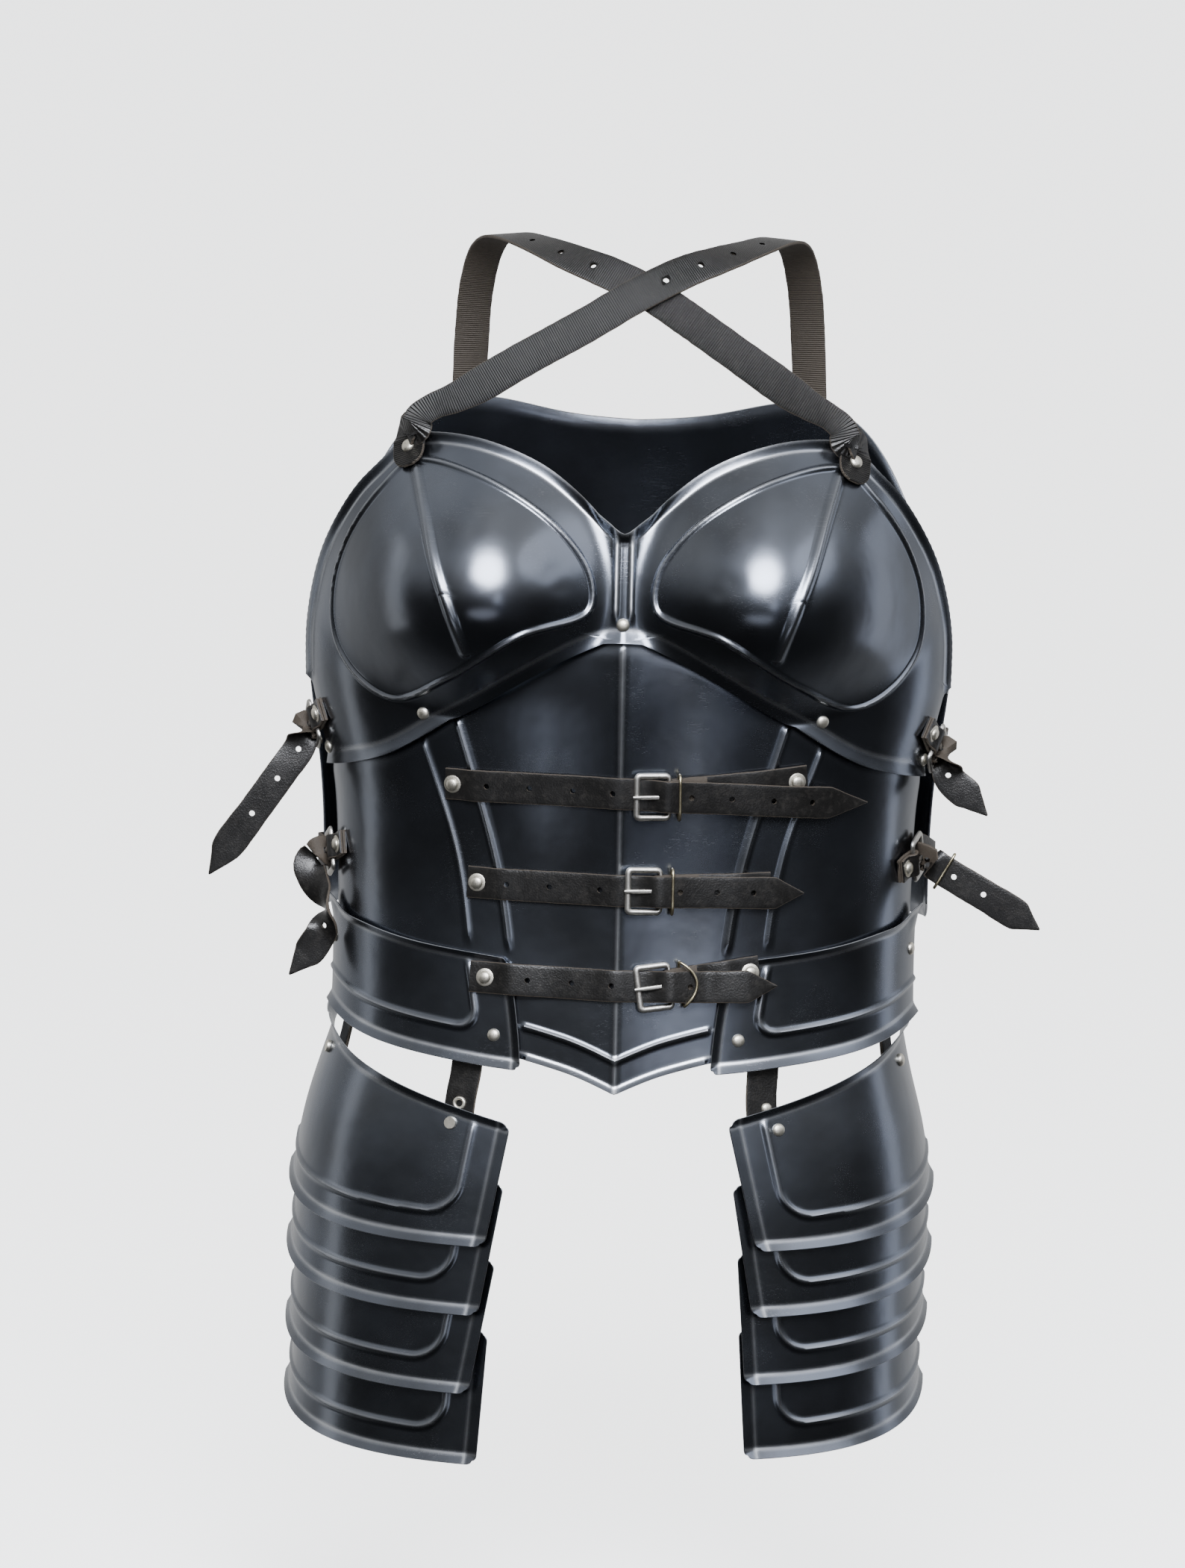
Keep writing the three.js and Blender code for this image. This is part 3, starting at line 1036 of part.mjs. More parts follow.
sideFastenings.forEach(sideFastening);

export default armour;
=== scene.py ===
import math

import bmesh
import bpy
import numpy as np
from mathutils import Matrix, Vector


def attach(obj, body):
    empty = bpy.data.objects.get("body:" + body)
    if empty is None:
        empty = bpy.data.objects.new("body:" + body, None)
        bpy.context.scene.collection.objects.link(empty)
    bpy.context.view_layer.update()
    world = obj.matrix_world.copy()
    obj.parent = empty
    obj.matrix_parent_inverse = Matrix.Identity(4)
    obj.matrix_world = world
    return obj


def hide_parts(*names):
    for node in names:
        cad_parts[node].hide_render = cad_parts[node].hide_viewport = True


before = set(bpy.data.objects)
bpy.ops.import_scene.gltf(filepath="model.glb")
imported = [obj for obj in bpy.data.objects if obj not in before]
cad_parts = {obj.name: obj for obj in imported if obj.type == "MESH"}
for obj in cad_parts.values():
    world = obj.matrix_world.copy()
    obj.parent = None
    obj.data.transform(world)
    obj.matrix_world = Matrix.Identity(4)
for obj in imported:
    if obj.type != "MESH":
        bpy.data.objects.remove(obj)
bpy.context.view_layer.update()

# Sizes in millimetres, the same as in the solids
collarHeight = 45
sheet = 1.2
leather = 1.8
layerGap = 1.2
roundness = 0.18
backEase = 2
degree = math.pi / 180
frontEdgeAngle = 80 * degree
bustLift = sheet + layerGap
density = 1.0  # share of the full mesh resolution
sharpAngle = 38
rivetGap = 0.1  # between a rivet's head and the leather
cameraTilt = 0.105  # what a place rises in the picture for each millimetre that it lies further back
rng = np.random.default_rng(7)

torso = [
    (100, 152, 84), (160, 168, 95), (205, 174, 106), (255, 178.5, 112), (300, 178, 112.5),
    (345, 168.5, 110), (400, 164.5, 109), (450, 163.5, 112), (500, 165, 117), (530, 168, 120),
]  # drop, half width, depth
hips = [
    (490, 163, 158, 117), (518, 170.5, 162, 120), (545, 176.5, 167, 122.5),
    (580, 180, 170, 124.5), (650, 181, 168, 126), (730, 181.5, 165.5, 126),
]  # drop, left half width, right half width, depth
back = [
    (130, 160, 88), (200, 174, 98), (290, 178, 99), (345, 171, 90), (400, 168, 87), (440, 168, 90),
]  # drop, half width, depth
neckline = [(0, 206), (21, 190.5), (50, 170.5), (82, 158.5), (106, 155.5), (122, 157)]
armhole = [
    (122, 157), (134, 171), (147, 185), (158, 202), (167, 221), (173, 242), (176.5, 266), (176.5, 294),
]
bustHem = [
    (0, 265), (18, 266.7), (38, 273.8), (58, 284.5), (80, 299.5), (103, 316), (130, 332.5), (152, 340),
    (164, 343),
]
cupPanel = [
    (118, 170), (82, 177), (42, 201), (21, 228), (21, 247), (58, 259), (97, 284), (126, 300), (145, 292),
    (160, 271), (162, 242), (153, 212), (134, 184),
]
cupRib = [(116, 174), (110, 195), (102.5, 223), (94, 247), (86, 268)]
cup = {"across": 90, "drop": 238, "height": 46, "reachAcross": 86, "reachDrop": 82, "skew": 10, "skewRun": 40}
keel = {"height": 5, "reach": 42}
abdomenHem = [
    (0, 516.6), (12, 511.5), (24, 507), (38, 503), (52, 499.5), (75, 496.5), (110, 493),
    (150, 485), (166, 480),
]
innerRib = [(240, 116), (310, 92), (358, 77.4), (393, 68), (438, 60.6), (517, 53)]  # drop, across
outerRib = [(240, 143), (321, 111.7), (354, 100), (382, 91.3), (416, 85.2), (437, 82.8), (517, 77)]
underlap = 22
beltTop = [
    (58, 444.5), (80, 441.8), (97, 439.7), (115, 437), (133, 433), (146, 429.5), (156, 425), (162, 418),
]
beltHem = [(50, 506), (67, 504.5), (93, 501.3), (121, 497), (141, 492), (153, 486.5), (162, 480)]
beltFront = [(444, 60), (497, 53), (506, 52.5)]  # drop, across
lames = {
    "left": [
        (536, 604.5, 57.5, 69.5), (569.5, 643.3, 60.5, 72.5), (613, 687.8, 64.5, 77), (653.5, 727.4, 68, 72),
    ],
    "right": [
        (534, 604, 63.5, 79), (568, 641, 66.5, 77.5), (606, 679, 70, 74), (648, 721, 71.5, 74.5),
    ],
}  # top, hem, front edge at the top and at the hem
lameStagger = 6
lameBackAngle = 92 * degree
hemRise = 26
sides = {"left": -1, "right": 1}


def mm(points):
    return np.asarray(points, float) / 1000


def unit(value):
    value = np.asarray(value, float)
    return value / np.maximum(np.linalg.norm(value, axis=-1, keepdims=True), 1e-9)


def ease(low, high, value):
    t = np.clip((np.asarray(value, float) - low) / (high - low), 0, 1)
    return t * t * (3 - 2 * t)


def spline(xs, ys):
    x = np.array(xs, float)
    y = np.array(ys, float)
    n = len(x)
    system = np.eye(n)
    right = np.zeros(n)
    for i in range(1, n - 1):
        system[i, i - 1] = x[i] - x[i - 1]
        system[i, i] = 2 * (x[i + 1] - x[i - 1])
        system[i, i + 1] = x[i + 1] - x[i]
        right[i] = 6 * ((y[i + 1] - y[i]) / (x[i + 1] - x[i]) - (y[i] - y[i - 1]) / (x[i] - x[i - 1]))
    bend = np.linalg.solve(system, right)

    def evaluate(value):
        at = np.clip(np.asarray(value, float), x[0], x[-1])
        i = np.clip(np.searchsorted(x, at, side="right") - 1, 0, n - 2)
        step = x[i + 1] - x[i]
        a = (x[i + 1] - at) / step
        b = 1 - a
        return a * y[i] + b * y[i + 1] + ((a**3 - a) * bend[i] + (b**3 - b) * bend[i + 1]) * step**2 / 6

    return evaluate


def column(rows, source, target):
    return spline([row[source] for row in rows], [row[target] for row in rows])


def centripetal(p, first, last, samples):
    # A smooth curve from row first to row last; the first values of each row are its place
    gap = np.sqrt(np.maximum(np.linalg.norm(np.diff(p[:, :3], axis=0), axis=1), 1e-6))
    slope = np.diff(p, axis=0) / gap[:, None]
    share = (gap[1:] / (gap[1:] + gap[:-1]))[:, None]
    tangent = np.vstack([slope[:1], slope[:-1] * share + slope[1:] * (1 - share), slope[-1:]])
    s = np.linspace(0, 1, samples, endpoint=False)[:, None]
    fine = [
        (2 * s**3 - 3 * s**2 + 1) * p[i] + (s**3 - 2 * s**2 + s) * gap[i] * tangent[i]
        + (3 * s**2 - 2 * s**3) * p[i + 1] + (s**3 - s**2) * gap[i] * tangent[i + 1]
        for i in range(first, last)]
    return np.vstack(fine + [p[last][None]])


def lengthAlong(points):
    return np.concatenate([[0], np.cumsum(np.linalg.norm(np.diff(points, axis=0), axis=1))])


def resampled(rows, length, wanted):
    return np.stack([np.interp(wanted, length, rows[:, k]) for k in range(rows.shape[1])], axis=1)


def curveThrough(points, count, closed=False):
    p = np.array(points, float)
    if closed:
        p = np.vstack([p[-2:], p, p[:3]])
    first, last = (2, len(p) - 3) if closed else (0, len(p) - 1)
    fine = centripetal(p, first, last, 60)
    length = lengthAlong(fine)
    return resampled(fine, length, np.linspace(0, length[-1], count))


torsoWidth = column(torso, 0, 1)
torsoDepth = column(torso, 0, 2)
backWidth = column(back, 0, 1)
backDepth = column(back, 0, 2)
hipWidth = {"left": column(hips, 0, 1), "right": column(hips, 0, 2)}
hipDepth = column(hips, 0, 3)
bustHemDrop = column(bustHem, 0, 1)
abdomenHemDrop = column(abdomenHem, 0, 1)
innerRibAcross = column(innerRib, 0, 1)
outerRibAcross = column(outerRib, 0, 1)
beltTopDrop = column(beltTop, 0, 1)
beltHemDrop = column(beltHem, 0, 1)
beltFrontAcross = column(beltFront, 0, 1)


def sectionPoint(angle, halfWidth, depth, drop):
    sine = np.sin(angle)
    y = -depth * np.cos(angle) * (1 + roundness * sine**2)
    return np.stack(np.broadcast_arrays(halfWidth * sine, y, collarHeight - drop), axis=-1)


def torsoPoint(angle, drop):
    point = sectionPoint(angle, torsoWidth(drop), torsoDepth(drop), drop)
    fade = np.maximum(0, 1 - np.abs(point[..., 0]) / keel["reach"])
    point[..., 1] -= keel["height"] * fade**2
    return point


def bustPoint(angle, drop):
    point = torsoPoint(angle, drop)
    below = drop - cup["drop"]
    u = (np.abs(point[..., 0]) - cup["across"]) / cup["reachAcross"]
    v = below / (cup["reachDrop"] - cup["skew"] * np.tanh(below / cup["skewRun"]))
    square = np.minimum(1, u * u + v * v)
    point[..., 1] -= cup["height"] * (1 - square) ** 2 * (1 + 0.6 * square)
    return point


def backPoint(angle, drop):
    return sectionPoint(angle, backWidth(drop) + backEase, backDepth(drop), drop)


def hipPoint(side):
    return lambda angle, drop: sectionPoint(angle, hipWidth[side](drop), hipDepth(drop), drop)


def outward(pointAt, angle, drop):
    angle = np.asarray(angle, float)
    drop = np.asarray(drop, float)
    alongAngle = pointAt(angle + 0.004, drop) - pointAt(angle - 0.004, drop)
    alongDrop = pointAt(angle, drop + 0.5) - pointAt(angle, drop - 0.5)
    normal = np.cross(alongDrop, alongAngle)
    return normal / np.linalg.norm(normal, axis=-1, keepdims=True)


def lifted(pointAt, angle, drop, lift):
    base = pointAt(np.asarray(angle, float), np.asarray(drop, float))
    return base + outward(pointAt, angle, drop) * np.asarray(lift, float)[..., None]


def torsoAngle(across, drop):
    return np.arcsin(np.clip(np.asarray(across, float) / torsoWidth(drop), -1, 1))


def bump(distance, width, height):
    t = np.clip(np.abs(distance) / (width * 0.6), 0, 1)
    return height * (1 - t * t) ** 2


def lip(distance, width, height, power=1.1):
    # An edge that turns out: full height at the edge, none from width on
    return height * np.clip(1 - distance / width, 0, 1) ** power


def crest(distance, at, width):
    return np.exp(-(((distance - at) / width) ** 2))


# share of a relief's height, for the lighter lines on ridges: partly wear, partly painted highlight
def polished(relief, height, power=3):
    return np.clip(relief / height, 0, 1) ** power


def cornerPull(fromFront, gaps, radius):
    # How far the front corners of a plate are drawn in to round them
    pull = np.zeros_like(fromFront)
    for gap in gaps:
        a = np.clip(1 - fromFront / radius, 0, 1)
        b = np.clip(1 - gap / radius, 0, 1)
        pull = np.maximum(pull, np.maximum(0, np.hypot(a, b) - np.maximum(a, b)) * radius)
    return pull


def nearest(points, path):
    flat = points.reshape(-1, points.shape[-1])
    best = np.empty(len(flat))
    for start in range(0, len(flat), 4000):
        part = flat[start:start + 4000]
        best[start:start + 4000] = np.sqrt(((part[:, None, :] - path[None]) ** 2).sum(-1)).min(1)
    return best.reshape(points.shape[:-1])


# Materials
def linear(code):
    parts = [int(code[i:i + 2], 16) / 255 for i in (1, 3, 5)]
    return tuple(p / 12.92 if p <= 0.04045 else ((p + 0.055) / 1.055) ** 2.4 for p in parts) + (1,)


def addNode(tree, kind, inputs=None, output=0, stops=(), **settings):
    # inputs holds a value or a link for each socket; what comes back is the output that is asked for
    node = tree.nodes.new("ShaderNode" + kind)
    for key, value in settings.items():
        setattr(node, key, value)
    for key, value in (inputs or {}).items():
        if isinstance(value, bpy.types.NodeSocket):
            tree.links.new(value, node.inputs[key])
        else:
            node.inputs[key].default_value = value
    while stops and len(node.color_ramp.elements) < len(stops):
        node.color_ramp.elements.new(0.5)
    for i, (position, level) in enumerate(stops):
        node.color_ramp.elements[i].position = position
        node.color_ramp.elements[i].color = (level, level, level, 1)
    return node.outputs[output]


def newMaterial(name, patterns):
    # patterns: size in millimetres, detail and roughness of each cloudy pattern
    material = bpy.data.materials.new(name)
    material.use_nodes = True
    tree = material.node_tree
    coordinates = addNode(tree, "TexCoord", output="Object")
    made = {}
    for key, (size, detail, rough) in patterns.items():
        made[key] = addNode(tree, "TexNoise", {
            "Vector": coordinates, "Scale": 1000 / size, "Detail": detail, "Roughness": rough})
    return material, tree, tree.nodes["Principled BSDF"], coordinates, made


# A mix node's sockets 6 and 7 are its two colours, and its output 2 is the colour that comes out
steelFinish = {
    # the near-white colour at the end of this line is bare worn steel, and it also paints highlight lines along
    # ridges, rims and creases
    "dark": "#6a6e75", "bluish": "#757b86", "scratch": "#a4a7ab", "wornAndHighlighted": "#e2e5e9",
    "patterns": {
        "cloud": (60, 4, 0.5), "fine": (2.2, 4, 0.65), "patch": (34, 3, 0.5), "rubAndHighlight": (9, 4, 0.6),
        "hammer": (24, 2, 0.4),
    },
    "scratchSize": 13,
    "scratchTurns": [
        ((0, 0.5, 0.3), (1, 22, 26)), ((0.4, 1.9, 0.2), (1, 18, 24)), ((1.1, 0.2, 1.2), (1, 26, 20)),
    ],
}


def blackenedSteel():
    # Oil-blackened sheet, then buffed: near-black mirror. Ridges, rims and edge creases are painted lighter and
    # duller, partly as real wear and partly as painted highlight lines
    look = steelFinish
    material, tree, shader, coordinates, pattern = newMaterial("blackened polished steel", look["patterns"])
    # per-point share of worn steel and painted highlight along ridges, rims and creases
    wear = addNode(tree, "Attribute", output="Fac", attribute_name="wear")
    marks = 0.0
    for turn, scale in look["scratchTurns"]:
        drawn = addNode(tree, "Mapping", {"Vector": coordinates, "Scale": scale, "Rotation": turn})
        lines = addNode(tree, "TexNoise", {
            "Vector": drawn, "Scale": 1000 / look["scratchSize"], "Detail": 2, "Roughness": 0.4})
        stops = [(0.0, 0.0), (0.655, 0.0), (0.70, 1.0), (1.0, 1.0)]
        lines = addNode(tree, "ValToRGB", {0: lines}, stops=stops)
        marks = addNode(tree, "Math", {0: marks, 1: lines}, operation="MAXIMUM")
    patches = addNode(tree, "ValToRGB", {0: pattern["patch"]}, stops=[(0.46, 0.0), (0.7, 0.8)])
    marks = addNode(tree, "Math", {0: marks, 1: patches}, operation="MULTIPLY")
    broken = addNode(tree, "Math", {0: pattern["rubAndHighlight"], 1: 0.7, 2: 0.55}, operation="MULTIPLY_ADD")
    # breaks up the worn and painted-highlight lines
    rubAndHighlight = addNode(tree, "Math", {0: wear, 1: broken}, operation="MULTIPLY")
    tone = addNode(tree, "ValToRGB", {0: pattern["cloud"]}, stops=[(0.35, 0.0), (0.7, 1.0)])
    colors = {0: tone, 6: linear(look["dark"]), 7: linear(look["bluish"])}
    base = addNode(tree, "Mix", colors, 2, data_type="RGBA")
    marked = addNode(tree, "Math", {0: marks, 1: 0.3}, operation="MULTIPLY")
    base = addNode(tree, "Mix", {0: marked, 6: base, 7: linear(look["scratch"])}, 2, data_type="RGBA")
    # mixes in the pale colour: partly wear, partly painted highlight lines
    base = addNode(tree, "Mix", {0: rubAndHighlight, 6: base, 7: linear(look["wornAndHighlighted"])}, 2, data_type="RGBA")
    dull = addNode(tree, "Math", {0: pattern["cloud"], 1: 0.12, 2: 0.18}, operation="MULTIPLY_ADD")
    dull = addNode(tree, "Math", {0: marks, 1: 0.07, 2: dull}, operation="MULTIPLY_ADD")
    dull = addNode(tree, "Math", {0: rubAndHighlight, 1: 0.22, 2: dull}, operation="MULTIPLY_ADD")
    height = addNode(tree, "Math", {0: pattern["fine"], 1: 0.05}, operation="MULTIPLY")
    height = addNode(tree, "Math", {0: pattern["hammer"], 1: 2.2, 2: height}, operation="MULTIPLY_ADD")
    relief = addNode(tree, "Bump", {"Height": height, "Strength": 0.25, "Distance": 0.0006})
    shader.inputs["Metallic"].default_value = 1.0
    tree.links.new(base, shader.inputs["Base Color"])
    tree.links.new(dull, shader.inputs["Roughness"])
    tree.links.new(relief, shader.inputs["Normal"])
    return material


leatherFinish = {
    "dark": ("#090909", "#151413"), "dust": "#4e4a45", "raw": ("#1f1b17", "#4a4136"),
    "patterns": {"cloud": (14, 5, 0.6), "fuzz": (0.7, 4, 0.8), "dust": (4, 5, 0.7)},
    "poreSize": 0.9, "ribPitch": 1.3,  # millimetres
}


def blackLeather(name, ribbed=False):
    # Vegetable-tanned strap, dyed black on the grain side: cut edges and flesh side stay brown-grey
    look = leatherFinish
    material, tree, shader, coordinates, pattern = newMaterial(name, look["patterns"])
    raw = addNode(tree, "Attribute", output="Fac", attribute_name="raw")
    grain = addNode(
        tree, "TexVoronoi", {"Vector": coordinates, "Scale": 1000 / look["poreSize"]}, feature="SMOOTH_F1")
    dust = addNode(tree, "ValToRGB", {0: pattern["dust"]}, stops=[(0.5, 0.0), (0.75, 1.0)])
    dust = addNode(tree, "Math", {0: dust, 1: 0.14}, operation="MULTIPLY")
    colors = {0: pattern["cloud"], 6: linear(look["dark"][0]), 7: linear(look["dark"][1])}
    dark = addNode(tree, "Mix", colors, 2, data_type="RGBA")
    dark = addNode(tree, "Mix", {0: dust, 6: dark, 7: linear(look["dust"])}, 2, data_type="RGBA")
    colors = {0: pattern["fuzz"], 6: linear(look["raw"][0]), 7: linear(look["raw"][1])}
    rawColor = addNode(tree, "Mix", colors, 2, data_type="RGBA")
    border = addNode(tree, "Math", {0: pattern["fuzz"], 1: 0.5}, operation="SUBTRACT")
    border = addNode(tree, "Math", {0: border, 1: 0.5, 2: raw}, operation="MULTIPLY_ADD")
    border = addNode(tree, "ValToRGB", {0: border}, stops=[(0.35, 0.0), (0.6, 1.0)])
    color = addNode(tree, "Mix", {0: border, 6: dark, 7: rawColor}, 2, data_type="RGBA")
    dull = addNode(tree, "Math", {0: border, 1: 0.35, 2: 0.22}, operation="MULTIPLY_ADD")
    dull = addNode(tree, "Math", {0: pattern["cloud"], 1: 0.22, 2: dull}, operation="MULTIPLY_ADD")
    height = addNode(tree, "Math", {0: pattern["fuzz"], 1: 0.25}, operation="MULTIPLY")
    height = addNode(tree, "Math", {0: grain, 1: 0.55, 2: height}, operation="MULTIPLY_ADD")
    height = addNode(tree, "Math", {0: pattern["cloud"], 1: 0.8, 2: height}, operation="MULTIPLY_ADD")
    if ribbed:
        along = addNode(tree, "Attribute", output="Fac", attribute_name="along")
        wave = addNode(tree, "Math", {0: along, 1: 2 * math.pi / look["ribPitch"]}, operation="MULTIPLY")
        wave = addNode(tree, "Math", {0: wave}, operation="SINE")
        height = addNode(tree, "Math", {0: wave, 1: 1.3, 2: height}, operation="MULTIPLY_ADD")
    frayed = addNode(tree, "Math", {0: border, 1: pattern["fuzz"]}, operation="MULTIPLY")
    height = addNode(tree, "Math", {0: frayed, 1: 1.2, 2: height}, operation="MULTIPLY_ADD")
    relief = addNode(tree, "Bump", {"Height": height, "Strength": 0.7, "Distance": 0.00022})
    shader.inputs["Specular IOR Level"].default_value = 0.5
    tree.links.new(color, shader.inputs["Base Color"])
    tree.links.new(dull, shader.inputs["Roughness"])
    tree.links.new(relief, shader.inputs["Normal"])
    return material


castPatterns = {"cloud": (5, 4, 0.6), "fine": (0.8, 5, 0.7), "specks": (1.4, 4, 0.7)}


def castNickel(name, lightColor, darkColor, dull):
    # Cast, tumbled and nickel plated: satin grey-white with dark specks in the hollows
    material, tree, shader, _, pattern = newMaterial(name, castPatterns)
    specks = addNode(tree, "ValToRGB", {0: pattern["specks"]}, stops=[(0.30, 1.0), (0.42, 0.0)])
    specks = addNode(tree, "Math", {0: specks, 1: 0.6}, operation="MULTIPLY")
    colors = {0: pattern["cloud"], 6: linear(lightColor), 7: linear(darkColor)}
    color = addNode(tree, "Mix", colors, 2, data_type="RGBA")
    color = addNode(tree, "Mix", {0: specks, 6: color, 7: linear("#4a4740")}, 2, data_type="RGBA")
    rough = addNode(tree, "Math", {0: pattern["fine"], 1: 0.25, 2: dull}, operation="MULTIPLY_ADD")
    height = {0: pattern["cloud"], 1: 0.8, 2: pattern["fine"]}
    height = addNode(tree, "Math", height, operation="MULTIPLY_ADD")
    relief = addNode(tree, "Bump", {"Height": height, "Strength": 0.5, "Distance": 0.00012})
    shader.inputs["Metallic"].default_value = 1.0
    tree.links.new(color, shader.inputs["Base Color"])
    tree.links.new(rough, shader.inputs["Roughness"])
    tree.links.new(relief, shader.inputs["Normal"])
    return material


steelSurface = blackenedSteel()
leatherSurface = blackLeather("black strap leather")
ribbedLeather = blackLeather("black strap leather, ribbed imprint", True)
nickelSurface = castNickel("satin nickel plate", "#dcdad4", "#a9a7a1", 0.27)
wireSurface = castNickel("brassy wire", "#d9cfb2", "#a49a7a", 0.2)
rivetSurface = castNickel("nickel rivet", "#f4f0e4", "#cfcaba", 0.3)


def meshOf(name, points, faces):
    mesh = bpy.data.meshes.new(name)
    mesh.from_pydata([tuple(p) for p in mm(points)], [], [tuple(int(i) for i in f) for f in faces])
    return mesh


def makePiece(name, points, faces, material, slot, nodes, smoothAngle=sharpAngle, **attributes):
    mesh = meshOf(name, points, faces)
    for key, values in attributes.items():
        layer = mesh.attributes.new(key, "FLOAT", "POINT")
        layer.data.foreach_set("value", np.asarray(values, np.float32))
    mesh.validate()
    mesh.polygons.foreach_set("use_smooth", [True] * len(mesh.polygons))
    mesh.set_sharp_from_angle(angle=smoothAngle * degree)
    mesh.materials.append(material)
    piece = bpy.data.objects.new(name, mesh)
    bpy.context.collection.objects.link(piece)
    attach(piece, "root")
    if nodes:
        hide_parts(*nodes)
    return piece


def quadFaces(index, flip=False):
    a = index[:-1, :-1].ravel()
    b = index[1:, :-1].ravel()
    c = index[1:, 1:].ravel()
    d = index[:-1, 1:].ravel()
    faces = np.stack([a, d, c, b] if flip else [a, b, c, d], axis=1)
    return faces.tolist()


def borderStrip(outerPoints, innerPoints, insidePoints, outerIndex, innerIndex, firstNew, flip):
    # A rounded edge: the sheet's rim bulges a little between its two faces
    away = outerPoints - insidePoints
    away /= np.maximum(np.linalg.norm(away, axis=1, keepdims=True), 1e-9)
    middle = (outerPoints + innerPoints) / 2 + away * 0.45
    count = len(outerPoints)
    middleIndex = np.arange(firstNew, firstNew + count)
    faces = []
    for i in range(count - 1):
        for top, low in ((outerIndex, middleIndex), (middleIndex, innerIndex)):
            quad = [top[i], top[i + 1], low[i + 1], low[i]]
            faces.append(quad[::-1] if flip else quad)
    return middle, faces


def gridPlate(name, nodes, angle, drop, pointAt, lift, relief, wear, flip=False):
    outer = lifted(pointAt, angle, drop, lift + relief + sheet)
    inner = lifted(pointAt, angle, drop, lift + relief)
    rows, columns = angle.shape
    index = np.arange(rows * columns).reshape(rows, columns)
    below = index + rows * columns
    points = [outer.reshape(-1, 3), inner.reshape(-1, 3)]
    faces = quadFaces(index, flip) + quadFaces(below, not flip)
    total = 2 * rows * columns
    rimWearAndHighlight = []
    for edge, inside, turned in (
        ((0, slice(None)), (1, slice(None)), False), ((-1, slice(None)), (-2, slice(None)), True),
        ((slice(None), 0), (slice(None), 1), True), ((slice(None), -1), (slice(None), -2), False),
    ):
        middle, strip = borderStrip(
            outer[edge], inner[edge], outer[inside], index[edge], below[edge], total, turned == flip)
        points.append(middle)
        faces += strip
        total += len(middle)
        # rim strips get the lighter colour: partly edge wear, partly a painted highlight along the rounded edge
        rimWearAndHighlight.append(np.full(len(middle), 0.75))
    wornAndHighlighted = np.concatenate([wear.ravel(), wear.ravel() * 0.2, *rimWearAndHighlight])
    return makePiece(name, np.vstack(points), faces, steelSurface, "blackened_steel", nodes, wear=wornAndHighlighted)


def steps(count):
    return max(6, int(round(count * density)))


# Rivets: a domed head, with or without a washer
def lathe(profile, sides=20):
    turns = np.arange(sides) / sides * 2 * math.pi
    rings = [np.stack([r * np.cos(turns), r * np.sin(turns), np.full(sides, h)], axis=1) for r, h in profile]
    count = len(profile)
    faces = []
    for i in range(count - 1):
        for j in range(sides):
            k = (j + 1) % sides
            faces.append([i * sides + j, i * sides + k, (i + 1) * sides + k, (i + 1) * sides + j])
    faces.append(list(range(sides))[::-1])
    faces.append([(count - 1) * sides + j for j in range(sides)])
    return np.vstack(rings), faces


def basis(out):
    z = np.asarray(out, float) / np.linalg.norm(out)
    guide = np.array([0.0, 0, 1])
    x = guide - z * guide.dot(z)
    x /= np.linalg.norm(x)
    return np.stack([x, np.cross(z, x), z], axis=1)


def placed(points, at, axes):
    return points @ axes.T + np.asarray(at)


def merged(parts):
    points = []
    faces = []
    total = 0
    for partPoints, partFaces in parts:
        points.append(partPoints)
        faces += [[i + total for i in face] for face in partFaces]
        total += len(partPoints)
    return np.vstack(points), faces


def rivetParts(at, out, radius=3.7, height=2.1, washer=0.0):
    turn = [i / 6 * math.pi / 2 for i in range(7)]
    dome = [(radius * math.cos(t) ** 0.85 if t < 1.5 else 0.25, height * math.sin(t)) for t in turn]
    start = 0.45 if washer else 0.0
    profile = [(radius * 0.9, -1.4), (radius, start)] + [(r, h + start) for r, h in dome[1:]]
    axes = basis(out)
    points, faces = lathe(profile)
    parts = [(placed(points, at, axes), faces)]
    if washer:
        disc = [
            (washer - 0.2, -0.3), (washer, -0.1), (washer, 0.3), (washer - 0.5, 0.5), (radius * 0.8, 0.62)]
        points, faces = lathe(disc, 28)
        parts.append((placed(points, at, axes), faces))
    return parts


print("plates")

# Bust plate: two polar grids, one round each cup, joined on the midline
bustPiece = {
    "hub": (98, 238), "rim": 5.5, "rimLift": 3.2, "hemBand": 7.5, "hemLift": 2.5,
    "bead": (4.6, 1.7), "rib": (7, 2.0), "keelRidge": (4.4, 1.7), "keelRidgeAcross": 3.4,
    "rings": {"cup": 34, "bead": 13, "border": 12, "band": 9},
    "dents": [
        (-42, 226, 7, 0.55), (-52, 219, 5, 0.35), (-36, 235, 5, 0.3), (60, 229, 6, 0.5), (54, 235, 4, 0.3),
    ],
}  # dents: across, drop, radius, depth


def bustOutline():
    runs = [
        ([(0, 265), (0, 206)], 36, "midline"), (neckline, 74, "rim"), (armhole, 74, "rim"),
        ([(176.5, 294), (170, 320), (164, 343)], 24, "side"), (bustHem[::-1], 98, "hem"),
    ]
    points = []
    kinds = []
    for rows, count, kind in runs:
        amount = steps(count)
        if len(rows) > 2:
            run = curveThrough(rows, amount + 1)
        else:
            run = np.linspace(rows[0], rows[1], amount + 1)
        points.append(run[:-1])
        kinds += [kind] * amount
    return np.vstack(points), np.array(kinds)


